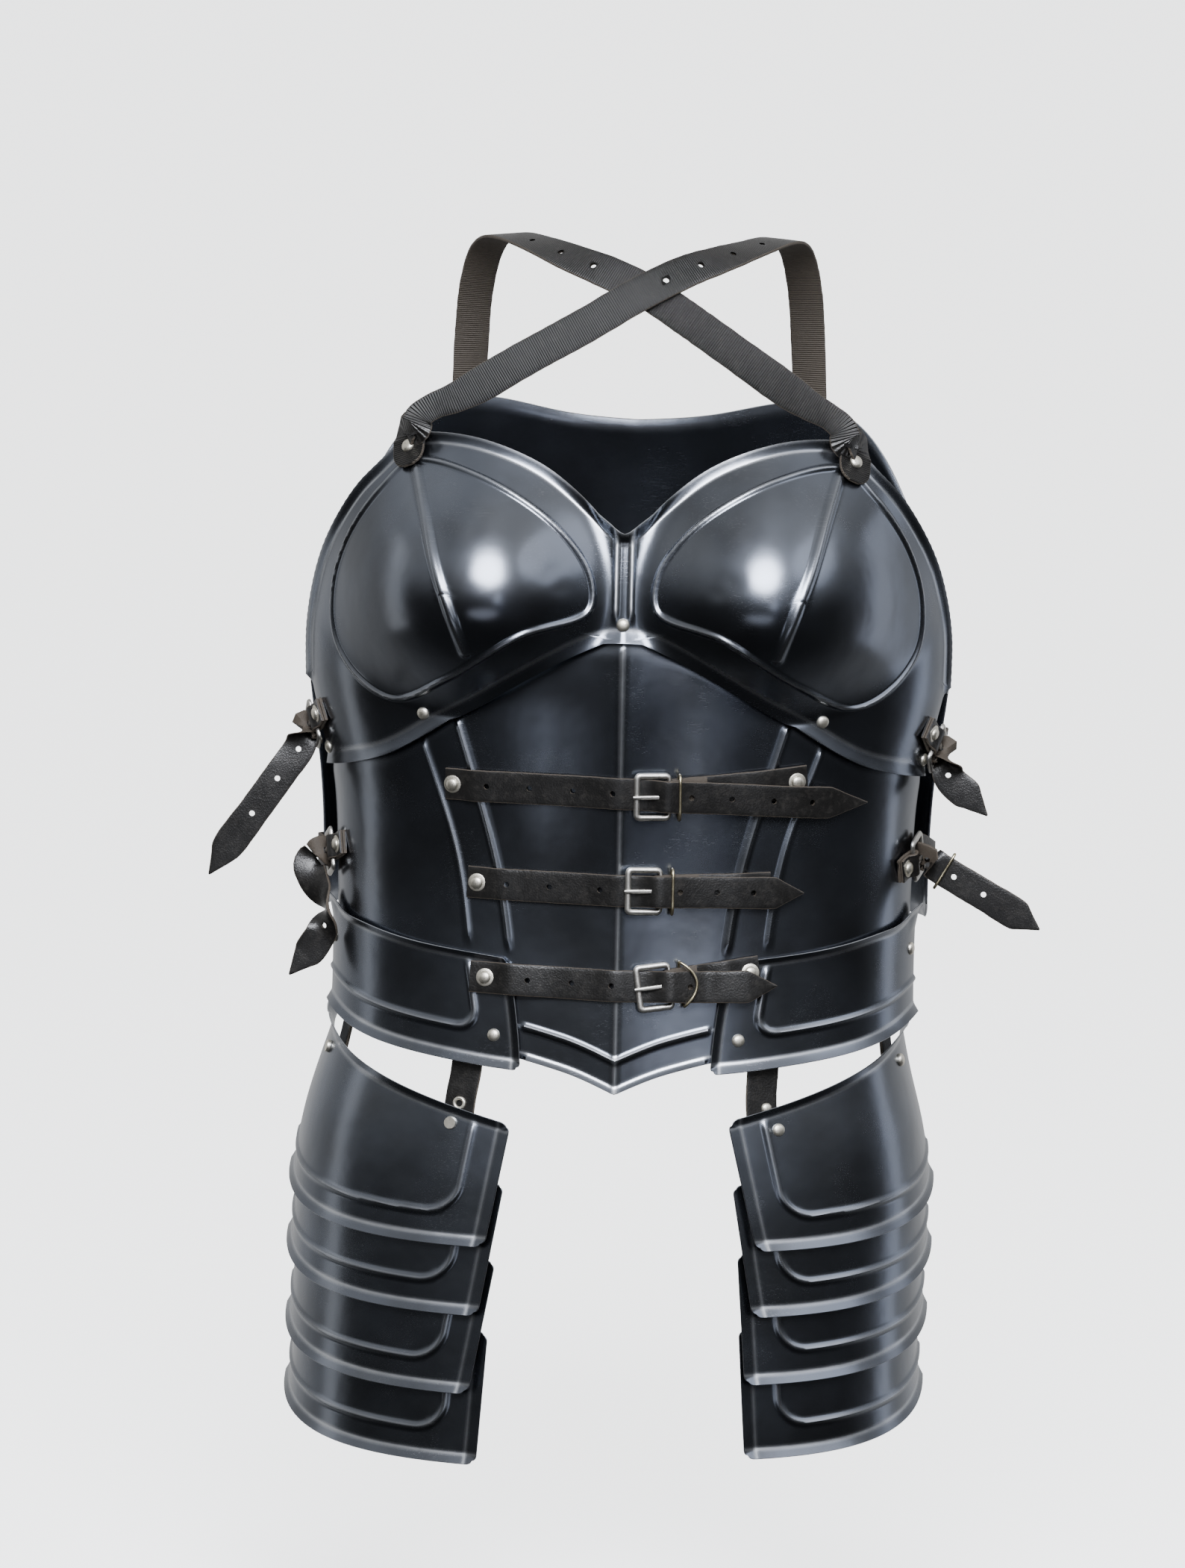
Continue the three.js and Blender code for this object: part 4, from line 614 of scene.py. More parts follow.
def bustPlate():
    outline, kinds = bustOutline()
    hub = np.array(bustPiece["hub"], float)
    panel = curveThrough(cupPanel, 420, True)
    away = outline - hub
    reach = np.hypot(away[:, 0], away[:, 1])
    fromHub = panel - hub
    turn = np.arctan2(fromHub[:, 1], fromHub[:, 0])
    beadAt = np.interp(
        np.arctan2(away[:, 1], away[:, 0]), turn, np.hypot(fromHub[:, 0], fromHub[:, 1]), period=2 * math.pi)
    tangent = unit(np.roll(outline, -1, axis=0) - np.roll(outline, 1, axis=0))
    square = np.maximum(0.6, np.abs(away[:, 0] * tangent[:, 1] - away[:, 1] * tangent[:, 0]) / reach)
    band = np.select([kinds == "rim", kinds == "hem"], [bustPiece["rim"], bustPiece["hemBand"]], 4.0) + 0.6
    bandAt = np.maximum(beadAt + 4, reach - band / square)
    stops = [0 * reach, beadAt - 3.3, beadAt + 3.3, bandAt, reach]
    counts = [steps(bustPiece["rings"][key]) for key in ("cup", "bead", "border", "band")]
    ringsAt = np.vstack([
        np.linspace(low, high, count + 1)[1:] for low, high, count in zip(stops, stops[1:], counts)])
    rings = len(ringsAt)
    flat = hub + (ringsAt / reach)[..., None] * away[None]
    across = flat[..., 0]
    drop = flat[..., 1]
    everything = []
    allFaces = []
    allWearAndHighlight = []
    total = 0
    rib = curveThrough(cupRib, 160)
    edgeLine = curveThrough(neckline, 260)
    sideLine = curveThrough(armhole, 260)
    hemLine = curveThrough(bustHem, 400)
    for sign in (-1, 1):
        def surface(line, sign=sign):
            return bustPoint(torsoAngle(sign * line[:, 0], line[:, 1]), line[:, 1])
        angle = torsoAngle(sign * across, drop)
        base = bustPoint(angle, drop)
        bead = bump(nearest(base, surface(panel)), *bustPiece["bead"])
        ribHeight = bump(nearest(base, surface(rib)), *bustPiece["rib"])
        rim = np.minimum(nearest(base, surface(edgeLine)), nearest(base, surface(sideLine)))
        rimLift = lip(rim, bustPiece["rim"], bustPiece["rimLift"], 1.15)
        hem = nearest(base, surface(hemLine))
        hemLift = lip(hem, bustPiece["hemBand"], bustPiece["hemLift"], 1.2)
        keelRib = bump(np.abs(base[..., 0]) - bustPiece["keelRidgeAcross"], *bustPiece["keelRidge"])
        keelRib *= 1 - ease(246, 256, drop)
        dents = 0
        for x, z, radius, depth in bustPiece["dents"]:
            distance = np.hypot(sign * across - x, drop - z)
            dents = dents + depth * np.exp(-(distance / radius) ** 2)
        relief = bead + ribHeight + rimLift + hemLift + keelRib - dents
        lift = np.full_like(relief, bustLift)
        # lighter colour on the bead, rib, keel ridge, and the rim and hem creases: partly wear, partly painted
        # highlight lines; the keel ridge is painted nearly white as a highlight
        wear = 0.30 * polished(bead, 1.7) + 0.16 * polished(ribHeight, 2.0) + 0.95 * polished(keelRib, 1.7, 2)
        wear += 0.45 * crest(rim, bustPiece["rim"], 0.9) + 0.5 * crest(rim, 0, 1.0)
        wear += 0.35 * crest(hem, bustPiece["hemBand"], 1.2)
        outer = lifted(bustPoint, angle, drop, lift + relief + sheet)
        inner = lifted(bustPoint, angle, drop, lift + relief)
        columns = len(outline)
        index = np.arange(rings * columns).reshape(rings, columns)
        wrap = np.concatenate([index, index[:, :1]], axis=1) + total
        size = rings * columns
        flip = sign < 0
        faces = quadFaces(wrap, flip) + quadFaces(wrap + size, not flip)
        hubAngle = torsoAngle(sign * hub[0], hub[1])
        hubOuter = total + 2 * size
        onRib = bump(nearest(bustPoint(hubAngle, hub[1])[None], surface(rib)), *bustPiece["rib"])
        hubRise = bustLift + float(onRib[0])
        hubs = [lifted(bustPoint, hubAngle, hub[1], hubRise + thick) for thick in (sheet, 0)]
        first = wrap[0]
        for j in range(columns):
            fan = [hubOuter, int(first[j]), int(first[j + 1])]
            faces.append(fan[::-1] if flip else fan)
            under = [hubOuter + 1, int(first[j]) + size, int(first[j + 1]) + size]
            faces.append(under if flip else under[::-1])
        # the two halves meet on the midline, so that run has no rim of its own
        keep = np.append(np.flatnonzero(kinds != "midline"), 0)
        middle, strip = borderStrip(
            outer[-1][keep], inner[-1][keep], outer[-2][keep],
            index[-1][keep] + total, index[-1][keep] + total + size, total + 2 * size + 2, not flip)
        everything += [outer.reshape(-1, 3), inner.reshape(-1, 3), np.array(hubs), middle]
        allFaces += faces + strip
        # the rim strip gets the lighter colour too: partly edge wear, partly painted highlight
        allWearAndHighlight += [wear.ravel(), wear.ravel() * 0.2, np.zeros(2), np.full(len(middle), 0.8)]
        total += 2 * size + 2 + len(middle)
    weld(makePiece(
        "bust_plate_steel", np.vstack(everything), allFaces, steelSurface, "blackened_steel", ["bust_plate"],
        wear=np.clip(np.concatenate(allWearAndHighlight), 0, 1)))


def weld(piece, distance=0.00002):
    work = bmesh.new()
    work.from_mesh(piece.data)
    bmesh.ops.remove_doubles(work, verts=work.verts, dist=distance)
    bmesh.ops.recalc_face_normals(work, faces=work.faces)
    work.to_mesh(piece.data)
    work.free()
    piece.data.set_sharp_from_angle(angle=sharpAngle * degree)


bustPlate()

# Abdomen plate: the grid's columns run along the keel and the ribs, its rows along the hem
abdomenPiece = {
    "innerRib": (4.8, 1.6), "outerRib": (3.6, 1.2), "hemLine": (4.2, 1.3), "hemAbove": 18, "hemRows": 24,
    "bustMeets": 164,
}


def abdomenPlate():
    # a column's number is 0 on the keel, 1 on the inner rib, 2 on the outer rib and 3 at the side
    half = np.concatenate([
        np.linspace(0, 1, steps(44) + 1)[:-1], np.linspace(1, 2, steps(20) + 1)[:-1],
        np.linspace(2, 3, steps(52) + 1)])
    track = np.concatenate([-half[::-1], half[1:]])
    hemRows = abdomenPiece["hemRows"]
    above = np.concatenate([
        np.linspace(0, hemRows, steps(22)), np.linspace(hemRows, hemRows + 1, steps(100) + 1)[1:]])
    level = np.abs(track)
    across = np.zeros((len(above), len(track)))
    drop = np.full_like(across, 400.0)
    for _ in range(6):
        inner = innerRibAcross(drop)
        outer = outerRibAcross(drop)
        start = torsoAngle(outer, drop)
        side = np.sin(start + (frontEdgeAngle - start) * np.clip(level - 2, 0, 1)) * torsoWidth(drop)
        between = inner + (outer - inner) * (level - 1)
        across = np.where(level < 1, level * inner, np.where(level < 2, between, side))
        hem = abdomenHemDrop(across)
        top = bustHemDrop(np.minimum(abdomenPiece["bustMeets"], across)) - underlap
        share = np.clip(above[:, None] - hemRows, 0, 1)
        higher = (hem - hemRows) + (top - hem + hemRows) * share
        drop = np.where(above[:, None] <= hemRows, hem - above[:, None], higher)
    angle = torsoAngle(np.sign(track) * across, drop)
    hem = abdomenHemDrop(across)
    hemLimit = bustHemDrop(np.minimum(abdomenPiece["bustMeets"], across))
    clearOfBust = ease(hemLimit - 2, hemLimit + 8, drop)
    onBelt = across >= beltFrontAcross(drop) - 3
    clearOfBelt = np.where(onBelt, 1 - ease(beltTopDrop(across) - 12, beltTopDrop(across) - 3, drop), 1.0)
    facing = np.maximum(0.25, np.cos(angle))
    ribs = bump((across - innerRibAcross(drop)) / facing ** 0.6, *abdomenPiece["innerRib"])
    ribs = np.maximum(ribs, bump((across - outerRibAcross(drop)) / facing ** 0.6, *abdomenPiece["outerRib"]))
    ribs *= clearOfBust * clearOfBelt
    gap = hem - drop
    line = bump(gap - abdomenPiece["hemAbove"], *abdomenPiece["hemLine"])
    flare = lip(gap, 3.6, 2.2, 1.2)
    crease = bump(across, 3.2, 0.5) * clearOfBust
    relief = ribs + (line + flare) * np.where(across > 50, clearOfBelt, 1) + crease - (1 - clearOfBust)
    # lighter colour on the ribs, hem line, keel crease and hem crease: partly wear, partly painted highlight lines
    wear = 0.22 * polished(ribs, 1.6) + 0.45 * polished(line, 1.3)
    wear += 0.6 * crest(across, 0, 0.9) * clearOfBust + 0.5 * crest(gap, 3.4, 0.9)
    gridPlate(
        "abdomen_plate_steel", ["abdomen_plate"], angle, drop, torsoPoint, np.zeros_like(relief), relief,
        np.clip(wear, 0, 1), flip=True)


abdomenPlate()

# Back plate: plain, turned-out edges
backPiece = {
    "top": [(88, 300), (100, 282), (112, 232), (124, 172), (136, 146), (150, 142), (165, 150), (180, 154)],
    "bottom": [(88, 420), (91, 424), (95, 429), (180, 430)], "edge": 88, "radius": 170,
}  # top and bottom: degrees round from the front, drop


def backPlate():
    topAt = column(backPiece["top"], 0, 1)
    edgeAt = backPiece["edge"]
    turns = np.linspace(edgeAt, 360 - edgeAt, steps(150))
    turn = np.minimum(turns, 360 - turns)
    bottom = np.interp(turn, *zip(*backPiece["bottom"]))
    share = np.linspace(0, 1, steps(100))[:, None]
    top = topAt(turn)
    drop = top + (bottom - top) * share
    angle = np.broadcast_to(turns * degree, drop.shape)
    edge = np.minimum(drop - top, bottom - drop)
    sideEdge = (turn - edgeAt) * degree * backPiece["radius"]
    edge = np.minimum(edge, sideEdge[None])
    relief = lip(edge, 5, 1.5, 1.2)
    # lighter line where the turned-out edge starts: partly wear, partly a painted highlight
    wear = 0.5 * crest(edge, 5, 1.0)
    flat = np.zeros_like(relief)
    gridPlate("back_plate_steel", ["back_plate"], angle, drop, backPoint, flat, relief, wear, flip=True)


backPlate()


def roundedCorner(inside, above, insideLine, aboveLine, radius):
    a = np.maximum(insideLine + radius - inside, 0)
    b = np.maximum(aboveLine + radius - above, 0)
    return np.hypot(a, b) - radius


# Belt plates: turned-out front and lower edges, rolled top edge, L-shaped ridge
beltPiece = {"ridge": (4.4, 1.3), "inside": 23, "above": 19, "radius": 12, "corner": 4, "frontBand": 30}


def beltPlate(side):
    sign = sides[side]
    frontBand = beltPiece["frontBand"]
    share = np.linspace(0, 1, steps(70) + 1)[1:]
    track = np.concatenate([np.linspace(0, frontBand, steps(34)), frontBand + share])
    toSide = np.clip(track - frontBand, 0, 1)
    rows = np.linspace(0, 1, steps(62))[:, None]
    across = np.full((len(rows), len(track)), 100.0)
    drop = np.full_like(across, 470.0)
    for _ in range(6):
        front = beltFrontAcross(drop)
        start = torsoAngle(front + frontBand, drop)
        far = np.sin(start + (frontEdgeAngle + 2 * degree - start) * toSide) * torsoWidth(drop)
        across = np.where(track <= frontBand, front + track, far)
        drop = beltTopDrop(across) + (beltHemDrop(across) - beltTopDrop(across)) * rows
    top = beltTopDrop(across)
    hem = beltHemDrop(across)
    fromFront = across - beltFrontAcross(drop)
    fromTop = drop - top
    fromHem = hem - drop
    pull = cornerPull(fromFront, (fromTop, fromHem), beltPiece["corner"])
    across = across + pull * 0.9
    drop = drop + np.where(rows < 0.5, pull, -pull) * 0.9
    angle = torsoAngle(sign * across, drop)
    distance = roundedCorner(fromFront, fromHem, beltPiece["inside"], beltPiece["above"], beltPiece["radius"])
    ridge = bump(distance, *beltPiece["ridge"]) * ease(2, 9, fromTop)
    roll = lip(fromTop, 3.4, 1.6, 1.2)
    flange = lip(fromFront, 4.4, 2.0, 1.2)
    hemLift = lip(fromHem, 5.6, 3.0)
    corner = 2.5 * ease(0.86, 1.0, toSide)[None] * np.clip(1 - fromTop / 14, 0, 1)
    relief = ridge + np.maximum(np.maximum(roll, flange), hemLift) + corner
    # lighter colour on the ridge and along the hem, front and top creases: partly wear, partly painted highlight
    # lines
    wear = 0.30 * polished(ridge, 1.3) + 0.55 * crest(fromHem, 5.4, 1.0)
    wear += 0.4 * crest(fromFront, 4.4, 0.9) + 0.45 * crest(fromTop, 3.4, 0.9)
    gridPlate(
        f"belt_plate_{side}_steel", [f"belt_plate_{side}"], angle, drop, torsoPoint,
        np.full_like(relief, bustLift), relief, np.clip(wear, 0, 1), flip=sign > 0)


for side in sides:
    beltPlate(side)

# Tasset lames: each leans out, lower and front edges turned out, U-shaped ridge
lamePiece = {
    "ridge": (4.4, 1.3), "inside": 19, "above": 17.5, "radius": 16, "corner": 5, "frontBand": 27,
    "frontRivet": (91, 537, 1.0),  # across, drop, lift
    "hipRivet": (78, 507, 1.4),  # degrees round, drop, lift
}


def lamePlate(side, number):
    sign = sides[side]
    topDrop, hemDrop, frontTop, frontHem = lames[side][number]
    width = hipWidth[side]
    surface = hipPoint(side)

    def pointAt(angle, drop):
        point = surface(np.abs(angle), drop)
        point[..., 0] *= sign
        return point

    def rise(angle):
        return hemRise * (np.abs(angle) / (90 * degree)) ** 3.5

    def topAt(angle):
        if number == 0:
            return topDrop - 0.7 * np.maximum(0, angle - 20 * degree) / degree
        return topDrop - rise(angle)

    def frontAt(drop):
        return frontTop + (frontHem - frontTop) * np.clip((drop - topDrop) / (hemDrop - topDrop), 0, 1)

    frontBand = lamePiece["frontBand"]
    share = np.linspace(0, 1, steps(74) + 1)[1:]
    track = np.concatenate([np.linspace(0, frontBand, steps(30)), frontBand + share])
    rows = np.linspace(0, 1, steps(72))[:, None]
    angle = np.full((len(rows), len(track)), 0.7)
    drop = np.full_like(angle, (topDrop + hemDrop) / 2)
    for _ in range(8):
        near = np.arcsin(np.clip((frontAt(drop) + np.minimum(track, frontBand)) / width(drop), -1, 1))
        angle = near + (lameBackAngle - near) * np.clip(track - frontBand, 0, 1)
        drop = topAt(angle) + (hemDrop - rise(angle) - topAt(angle)) * rows
    top = topAt(angle)
    hem = hemDrop - rise(angle)
    fromFront = (angle - np.arcsin(np.clip(frontAt(drop) / width(drop), -1, 1))) * (width(drop) * 0.84)
    fromTop = drop - top
    fromHem = hem - drop
    pull = cornerPull(fromFront, (fromTop, fromHem), lamePiece["corner"])
    distance = roundedCorner(fromFront, fromHem, lamePiece["inside"], lamePiece["above"], lamePiece["radius"])
    fade = ease(1, 10, fromTop) if number == 0 else ease(8, 22, fromTop)
    ridge = bump(distance, *lamePiece["ridge"]) * fade
    flange = lip(fromFront, 6.2, 2.0)
    hemLift = lip(fromHem, 5.4, 2.5)
    # lighter colour on the ridge and along the hem, front and top creases: partly wear, partly painted highlight
    # lines
    wear = 0.28 * polished(ridge, 1.3) + 0.55 * crest(fromHem, 5.2, 1.0) + 0.4 * crest(fromFront, 6.0, 0.9)
    topLift = np.zeros_like(drop)
    if number == 0:
        topLift = lip(fromTop, 4.2, 1.5)
        topLift = topLift + 4 * ease(70 * degree, lameBackAngle, angle) * np.clip(1 - fromTop / 5, 0, 1)
        wear += 0.5 * crest(fromTop, 4.2, 0.9)
    relief = ridge + np.maximum(np.maximum(flange, hemLift), topLift)
    lift = lameStagger * rows + np.zeros_like(drop)
    angle = angle + pull * 0.9 / width(drop)
    drop = drop + np.where(rows < 0.5, pull, -pull) * 0.9
    node = f"tasset_{side}_lame_{number + 1}"
    wornAndHighlighted = np.clip(wear, 0, 1)
    gridPlate(f"{node}_steel", [node], sign * angle, drop, pointAt, lift, relief, wornAndHighlighted, flip=sign > 0)
    if number > 0:
        return []
    across, frontDrop, frontLift = lamePiece["frontRivet"]
    turn, hipDrop, hipLift = lamePiece["hipRivet"]
    spots = [(math.asin(across / width(frontDrop)), frontDrop, frontLift), (turn * degree, hipDrop, hipLift)]
    rivets = []
    for around, height, more in spots:
        at = lifted(pointAt, sign * around, height, sheet + more)
        rivets += rivetParts(at, outward(pointAt, around, height))
    return rivets


rivetList = []
for side in sides:
    for number in range(4):
        rivetList += lamePlate(side, number)

print("rivets")
plateRivets = {"bust": [(110, 308), (165, 334)], "belt": (67.5, 487), "beltEnd": (78, 443), "keel": 255}
face = bustLift + sheet
for sign in (-1, 1):
    for across, drop in plateRivets["bust"]:
        turn = torsoAngle(sign * across, drop)
        rivetList += rivetParts(lifted(bustPoint, turn, drop, face), outward(bustPoint, turn, drop))
    across, drop = plateRivets["belt"]
    turn = torsoAngle(sign * across, drop)
    rivetList += rivetParts(lifted(torsoPoint, turn, drop, face), outward(torsoPoint, turn, drop))
    around, drop = plateRivets["beltEnd"]
    turn = sign * around * degree
    rivetList += rivetParts(lifted(torsoPoint, turn, drop, face), outward(torsoPoint, turn, drop))
drop = plateRivets["keel"]
rivetList += rivetParts(lifted(bustPoint, 0.0, drop, face + 0.6), outward(bustPoint, 0.0, drop))
rivetPoints, rivetFaces = merged(rivetList)
makePiece("plate_rivets_nickel", rivetPoints, rivetFaces, rivetSurface, "nickel_plate", [], 50)

print("straps")


def bench(at, out, along):
    # A working frame: along a strap, across it, and out from the armour
    z = unit(out)
    x = unit(np.asarray(along, float) - z * np.dot(along, z))
    return {"at": np.asarray(at, float), "x": x, "y": np.cross(z, x), "z": z}


def onBench(place, along, across, height):
    return place["at"] + place["x"] * along + place["y"] * across + place["z"] * height


def evenCurve(rows, step, closed=False):
    p = np.array(rows, float)
    if closed:
        p = np.vstack([p[-2:], p, p[:2]])
    first, last = (2, len(p) - 2) if closed else (0, len(p) - 1)
    fine = centripetal(p, first, last, 40)
    length = lengthAlong(fine[:, :3])
    count = max(4, int(round(length[-1] / (step / math.sqrt(density)))))
    wanted = np.linspace(0, length[-1], count + 1)
    result = resampled(fine, length, wanted)
    return (result[:-1] if closed else result), wanted


def sectionRing(widthSteps, cornerSteps):
    # Places round a rounded rectangle: side, top or bottom, and the corner's turn
    ring = []
    for sx in np.linspace(-1, 1, widthSteps):
        ring.append((sx, 1, 90))
    for k in range(1, cornerSteps):
        ring.append((1, 1, 90 - 90 * k / cornerSteps))
    ring.append((1, 0, 0))
    for k in range(1, cornerSteps):
        ring.append((1, -1, -90 * k / cornerSteps))
    for sx in np.linspace(1, -1, widthSteps):
        ring.append((sx, -1, -90))
    for k in range(1, cornerSteps):
        ring.append((-1, -1, -90 - 90 * k / cornerSteps))
    ring.append((-1, 0, 180))
    for k in range(1, cornerSteps):
        ring.append((-1, 1, 180 - 90 * k / cornerSteps))
    return np.array(ring, float)


def ribbon(stations, thickness, step=1.5, corner=0.55, widthSteps=9, cornerSteps=3, ragged=0.0, crown=0.0):
    # stations: (at, across, width); gives points, faces, and each point's raw edge share and distance along
    rows = [np.concatenate([at, unit(across) * 10, [width]]) for at, across, width in stations]
    path, along = evenCurve(rows, step)
    at = path[:, :3]
    forward = unit(np.gradient(at, axis=0))
    across = unit(path[:, 3:6])
    across = unit(across - forward * (across * forward).sum(1, keepdims=True))
    out = np.cross(across, forward)
    ring = sectionRing(widthSteps, cornerSteps)
    turn = ring[:, 2] * degree
    c = np.minimum(corner, path[:, 6] * 0.48)[:, None]
    half = path[:, 6][:, None] / 2
    if ragged:
        knots = max(4, int(along[-1] / 3))
        wave = np.interp(along, np.linspace(0, along[-1], knots), rng.normal(0, ragged, knots))
        half = half + wave[:, None] * np.minimum(1, half / 4)
    a = ring[:, 0][None] * np.maximum(half - c, 0) + c * np.cos(turn)[None]
    low = np.minimum(c, thickness / 2)
    h = ring[:, 1][None] * (thickness / 2 - low) + low * np.sin(turn)[None]
    h = h + crown * (1 - ring[:, 0][None] ** 2) * (ring[:, 1][None] > 0)
    points = at[:, None] + a[..., None] * across[:, None] + h[..., None] * out[:, None]
    rings, sides = points.shape[:2]
    index = np.arange(rings * sides).reshape(rings, sides)
    wrap = np.concatenate([index, index[:, :1]], axis=1)
    faces = quadFaces(wrap)
    faces.append(index[0].tolist()[::-1])
    faces.append(index[-1].tolist())
    edge = np.where(np.abs(ring[:, 0]) >= 1, 1.0, 0.0) * (ring[:, 2] != 90)
    under = (ring[:, 1] < 0).astype(float)
    raw = np.broadcast_to(np.maximum(edge, under)[None], (rings, sides))
    runs = np.broadcast_to(along[:, None], (rings, sides))
    return points.reshape(-1, 3), faces, raw.reshape(-1).copy(), runs.reshape(-1).copy()


def cylinder(at, out, radius, depth, sides=20):
    points, faces = lathe([(radius, -depth), (radius, depth)], sides)
    return placed(points, at, basis(out)), faces


def cutOut(piece, cutters):
    points, faces = merged(cutters)
    tool = bpy.data.objects.new("cutter", meshOf("cutter", points, faces))
    bpy.context.collection.objects.link(tool)
    change = piece.modifiers.new("holes", "BOOLEAN")
    change.object = tool
    change.solver = "EXACT"
    change.use_self = len(cutters) > 1
    bpy.context.view_layer.update()
    result = bpy.data.meshes.new_from_object(piece.evaluated_get(bpy.context.evaluated_depsgraph_get()))
    piece.modifiers.clear()
    old = piece.data
    piece.data = result
    bpy.data.meshes.remove(old)
    bpy.data.objects.remove(tool)


strapShape = {"corner": 0.55, "ragged": 0.07, "crown": 0.12}


def leatherPiece(node, stations, holes=(), slots=(), surface=leatherSurface, holeRadius=1.6, step=1.5):
    points, faces, raw, along = ribbon(stations, leather, step, **strapShape)
    piece = makePiece(
        f"{node}_leather", points, faces, surface, "black_leather", [node], 40, raw=raw, along=along)
    cutters = [cylinder(at, out, holeRadius, 4) for at, out in holes] + list(slots)
    if cutters:
        cutOut(piece, cutters)
        mesh = piece.data
        spots = np.empty(len(mesh.vertices) * 3, np.float32)
        mesh.vertices.foreach_get("co", spots)
        spots = spots.reshape(-1, 3) * 1000
        values = np.empty(len(mesh.vertices), np.float32)
        mesh.attributes["raw"].data.foreach_get("value", values)
        for at, out in holes:
            away = spots - at
            height = away @ unit(out)
            radial = np.linalg.norm(away - height[:, None] * unit(out), axis=1)
            inside = (radial < holeRadius + 0.15) & (np.abs(height) < 2.5)
            values[inside] = np.where(height[inside] > 0.4, 0.3, 1.0)
        mesh.attributes["raw"].data.foreach_set("value", values)
        mesh.set_sharp_from_angle(angle=40 * degree)


barThickness = 1.8
prongThickness = 1.6
foldRadius = 2.2


def frameMesh(place, length, height, rail, pivot, barHeight, corner=3.4, crown=0.35):
    x = length / 2
    y = height / 2
    arc = 7
    flat = 9

    def loop(left, right, low, high, radius):
        centres = [
            (right - radius, high - radius, 0), (left + radius, high - radius, 90),
            (left + radius, low + radius, 180), (right - radius, low + radius, 270)]
        points = []
        for i, (cx, cy, turn) in enumerate(centres):
            for k in range(arc + 1):
                t = (turn + 90 * k / arc) * degree
                points.append((cx + radius * math.cos(t), cy + radius * math.sin(t)))
            nx, ny, nextTurn = centres[(i + 1) % 4]
            start = points[-1]
            t = nextTurn * degree
            end = (nx + radius * math.cos(t), ny + radius * math.sin(t))
            for k in range(1, flat):
                points.append(tuple(a + (b - a) * k / flat for a, b in zip(start, end)))
        return np.array(points)

    outer = loop(-x, x, -y, y, corner)
    inner = loop(-x + rail, x - pivot, -y + rail, y - rail, 0.9)
    half = barThickness / 2
    section = [
        (0.0, -0.55), (0.12, -1), (0.88, -1), (1.0, -0.55), (1.0, 0.3), (0.9, 0.78), (0.7, 1.0), (0.45, 1.08),
        (0.25, 1.0), (0.08, 0.75), (0.0, 0.3)]
    points = []
    for share, level in section:
        ring = inner + (outer - inner) * share
        lift = half * level + (crown if 0.2 < share < 0.8 and level > 0 else 0)
        points.append(np.stack([onBench(place, a, b, barHeight + lift) for a, b in ring]))
    stacked = np.stack(points)
    count = stacked.shape[1]
    index = np.arange(len(section) * count).reshape(len(section), count)
    wrap = np.concatenate([index, index[:, :1]], axis=1)
    wrap = np.concatenate([wrap, wrap[:1]], axis=0)
    return stacked.reshape(-1, 3), quadFaces(wrap)


def prongPath(length, barHeight):
    top = barHeight + barThickness / 2 + prongThickness / 2 + 0.3
    pivot = length / 2 - 1.0
    return [
        (-length / 2 - 0.6, top - 0.1), (-length / 2 + 4, top + 0.15), (0, top + 0.2),
        (pivot - 1.5, top + 0.2), (pivot + 0.8, top - 0.1), (pivot + 2.1, top - 1.2), (pivot + 2.3, barHeight - 0.2),
        (pivot + 1.0, barHeight - 1.9)]


def prongMesh(place, length, barHeight, width=2.6, thickness=1.7):
    widths = [width * share for share in (0.72, 0.9, 1, 1.1, 1.25, 1.3, 1.3, 1.2)]
    path = prongPath(length, barHeight)
    stations = [(onBench(place, a, 0, h), -place["y"], wide) for (a, h), wide in zip(path, widths)]
    points, faces, _, _ = ribbon(stations, thickness, 0.7, 0.8, 5, 3)
    return points, faces


def prongSlot(place, length, barHeight):
    top = barHeight + 2
    end = length / 2
    path = [(0.3 - end, top), (end - 0.5, top), (end + 0.9, top - 0.8), (end + 1.2, barHeight - 1.2)]
    stations = [(onBench(place, a, 0, h), -place["y"], 3.0) for a, h in path]
    points, faces, _, _ = ribbon(stations, 2.4, 2.0, 0.3, 2, 2)
    return points, faces


def wireRing(points, radius=0.8, sides=10, step=0.8):
    path, _ = evenCurve(points, step, True)
    count = len(path)
    forward = unit(np.roll(path, -1, axis=0) - np.roll(path, 1, axis=0))
    out = path - path.mean(0)
    out = unit(out - forward * (out * forward).sum(1, keepdims=True))
    across = np.cross(forward, out)
    turn = np.arange(sides) / sides * 2 * math.pi
    around = np.cos(turn)[None, :, None] * out[:, None] + np.sin(turn)[None, :, None] * across[:, None]
    points = path[:, None] + radius * around
    index = np.arange(count * sides).reshape(count, sides)
    wrap = np.concatenate([index, index[:, :1]], axis=1)
    wrap = np.concatenate([wrap, wrap[:1]], axis=0)
    return points.reshape(-1, 3), quadFaces(wrap)


def foldStations(place, across, length, barHeight, width):
    middle = length / 2 - 1.0 - 0.6
    stations = []
    for turn in (-90, -140, 180, 140, 90):
        along = middle + foldRadius * math.cos(turn * degree)
        height = barHeight + foldRadius * math.sin(turn * degree)
        stations.append((onBench(place, along, 0, height), across, width))
    return stations


def metalPiece(node, mesh, surface, finish="nickel"):
    makePiece(f"{node}_{finish}", mesh[0], mesh[1], surface, "nickel_plate", [node], 45)


def holesOn(path, spots, sign=1):
    # The tables give where each hole shows from the front, and the strap's own curve its place
    holes = []
    for x, z in spots:
        seen = path[:, 2] + cameraTilt * path[:, 1]
        near = np.argmin(np.hypot(path[:, 0] - sign * x, seen - (collarHeight - z)))
        ahead = unit(path[min(near + 3, len(path) - 1), :3] - path[max(near - 3, 0), :3])
        holes.append((path[near, :3], np.cross(unit(path[near, 3:6]), ahead)))
    return holes


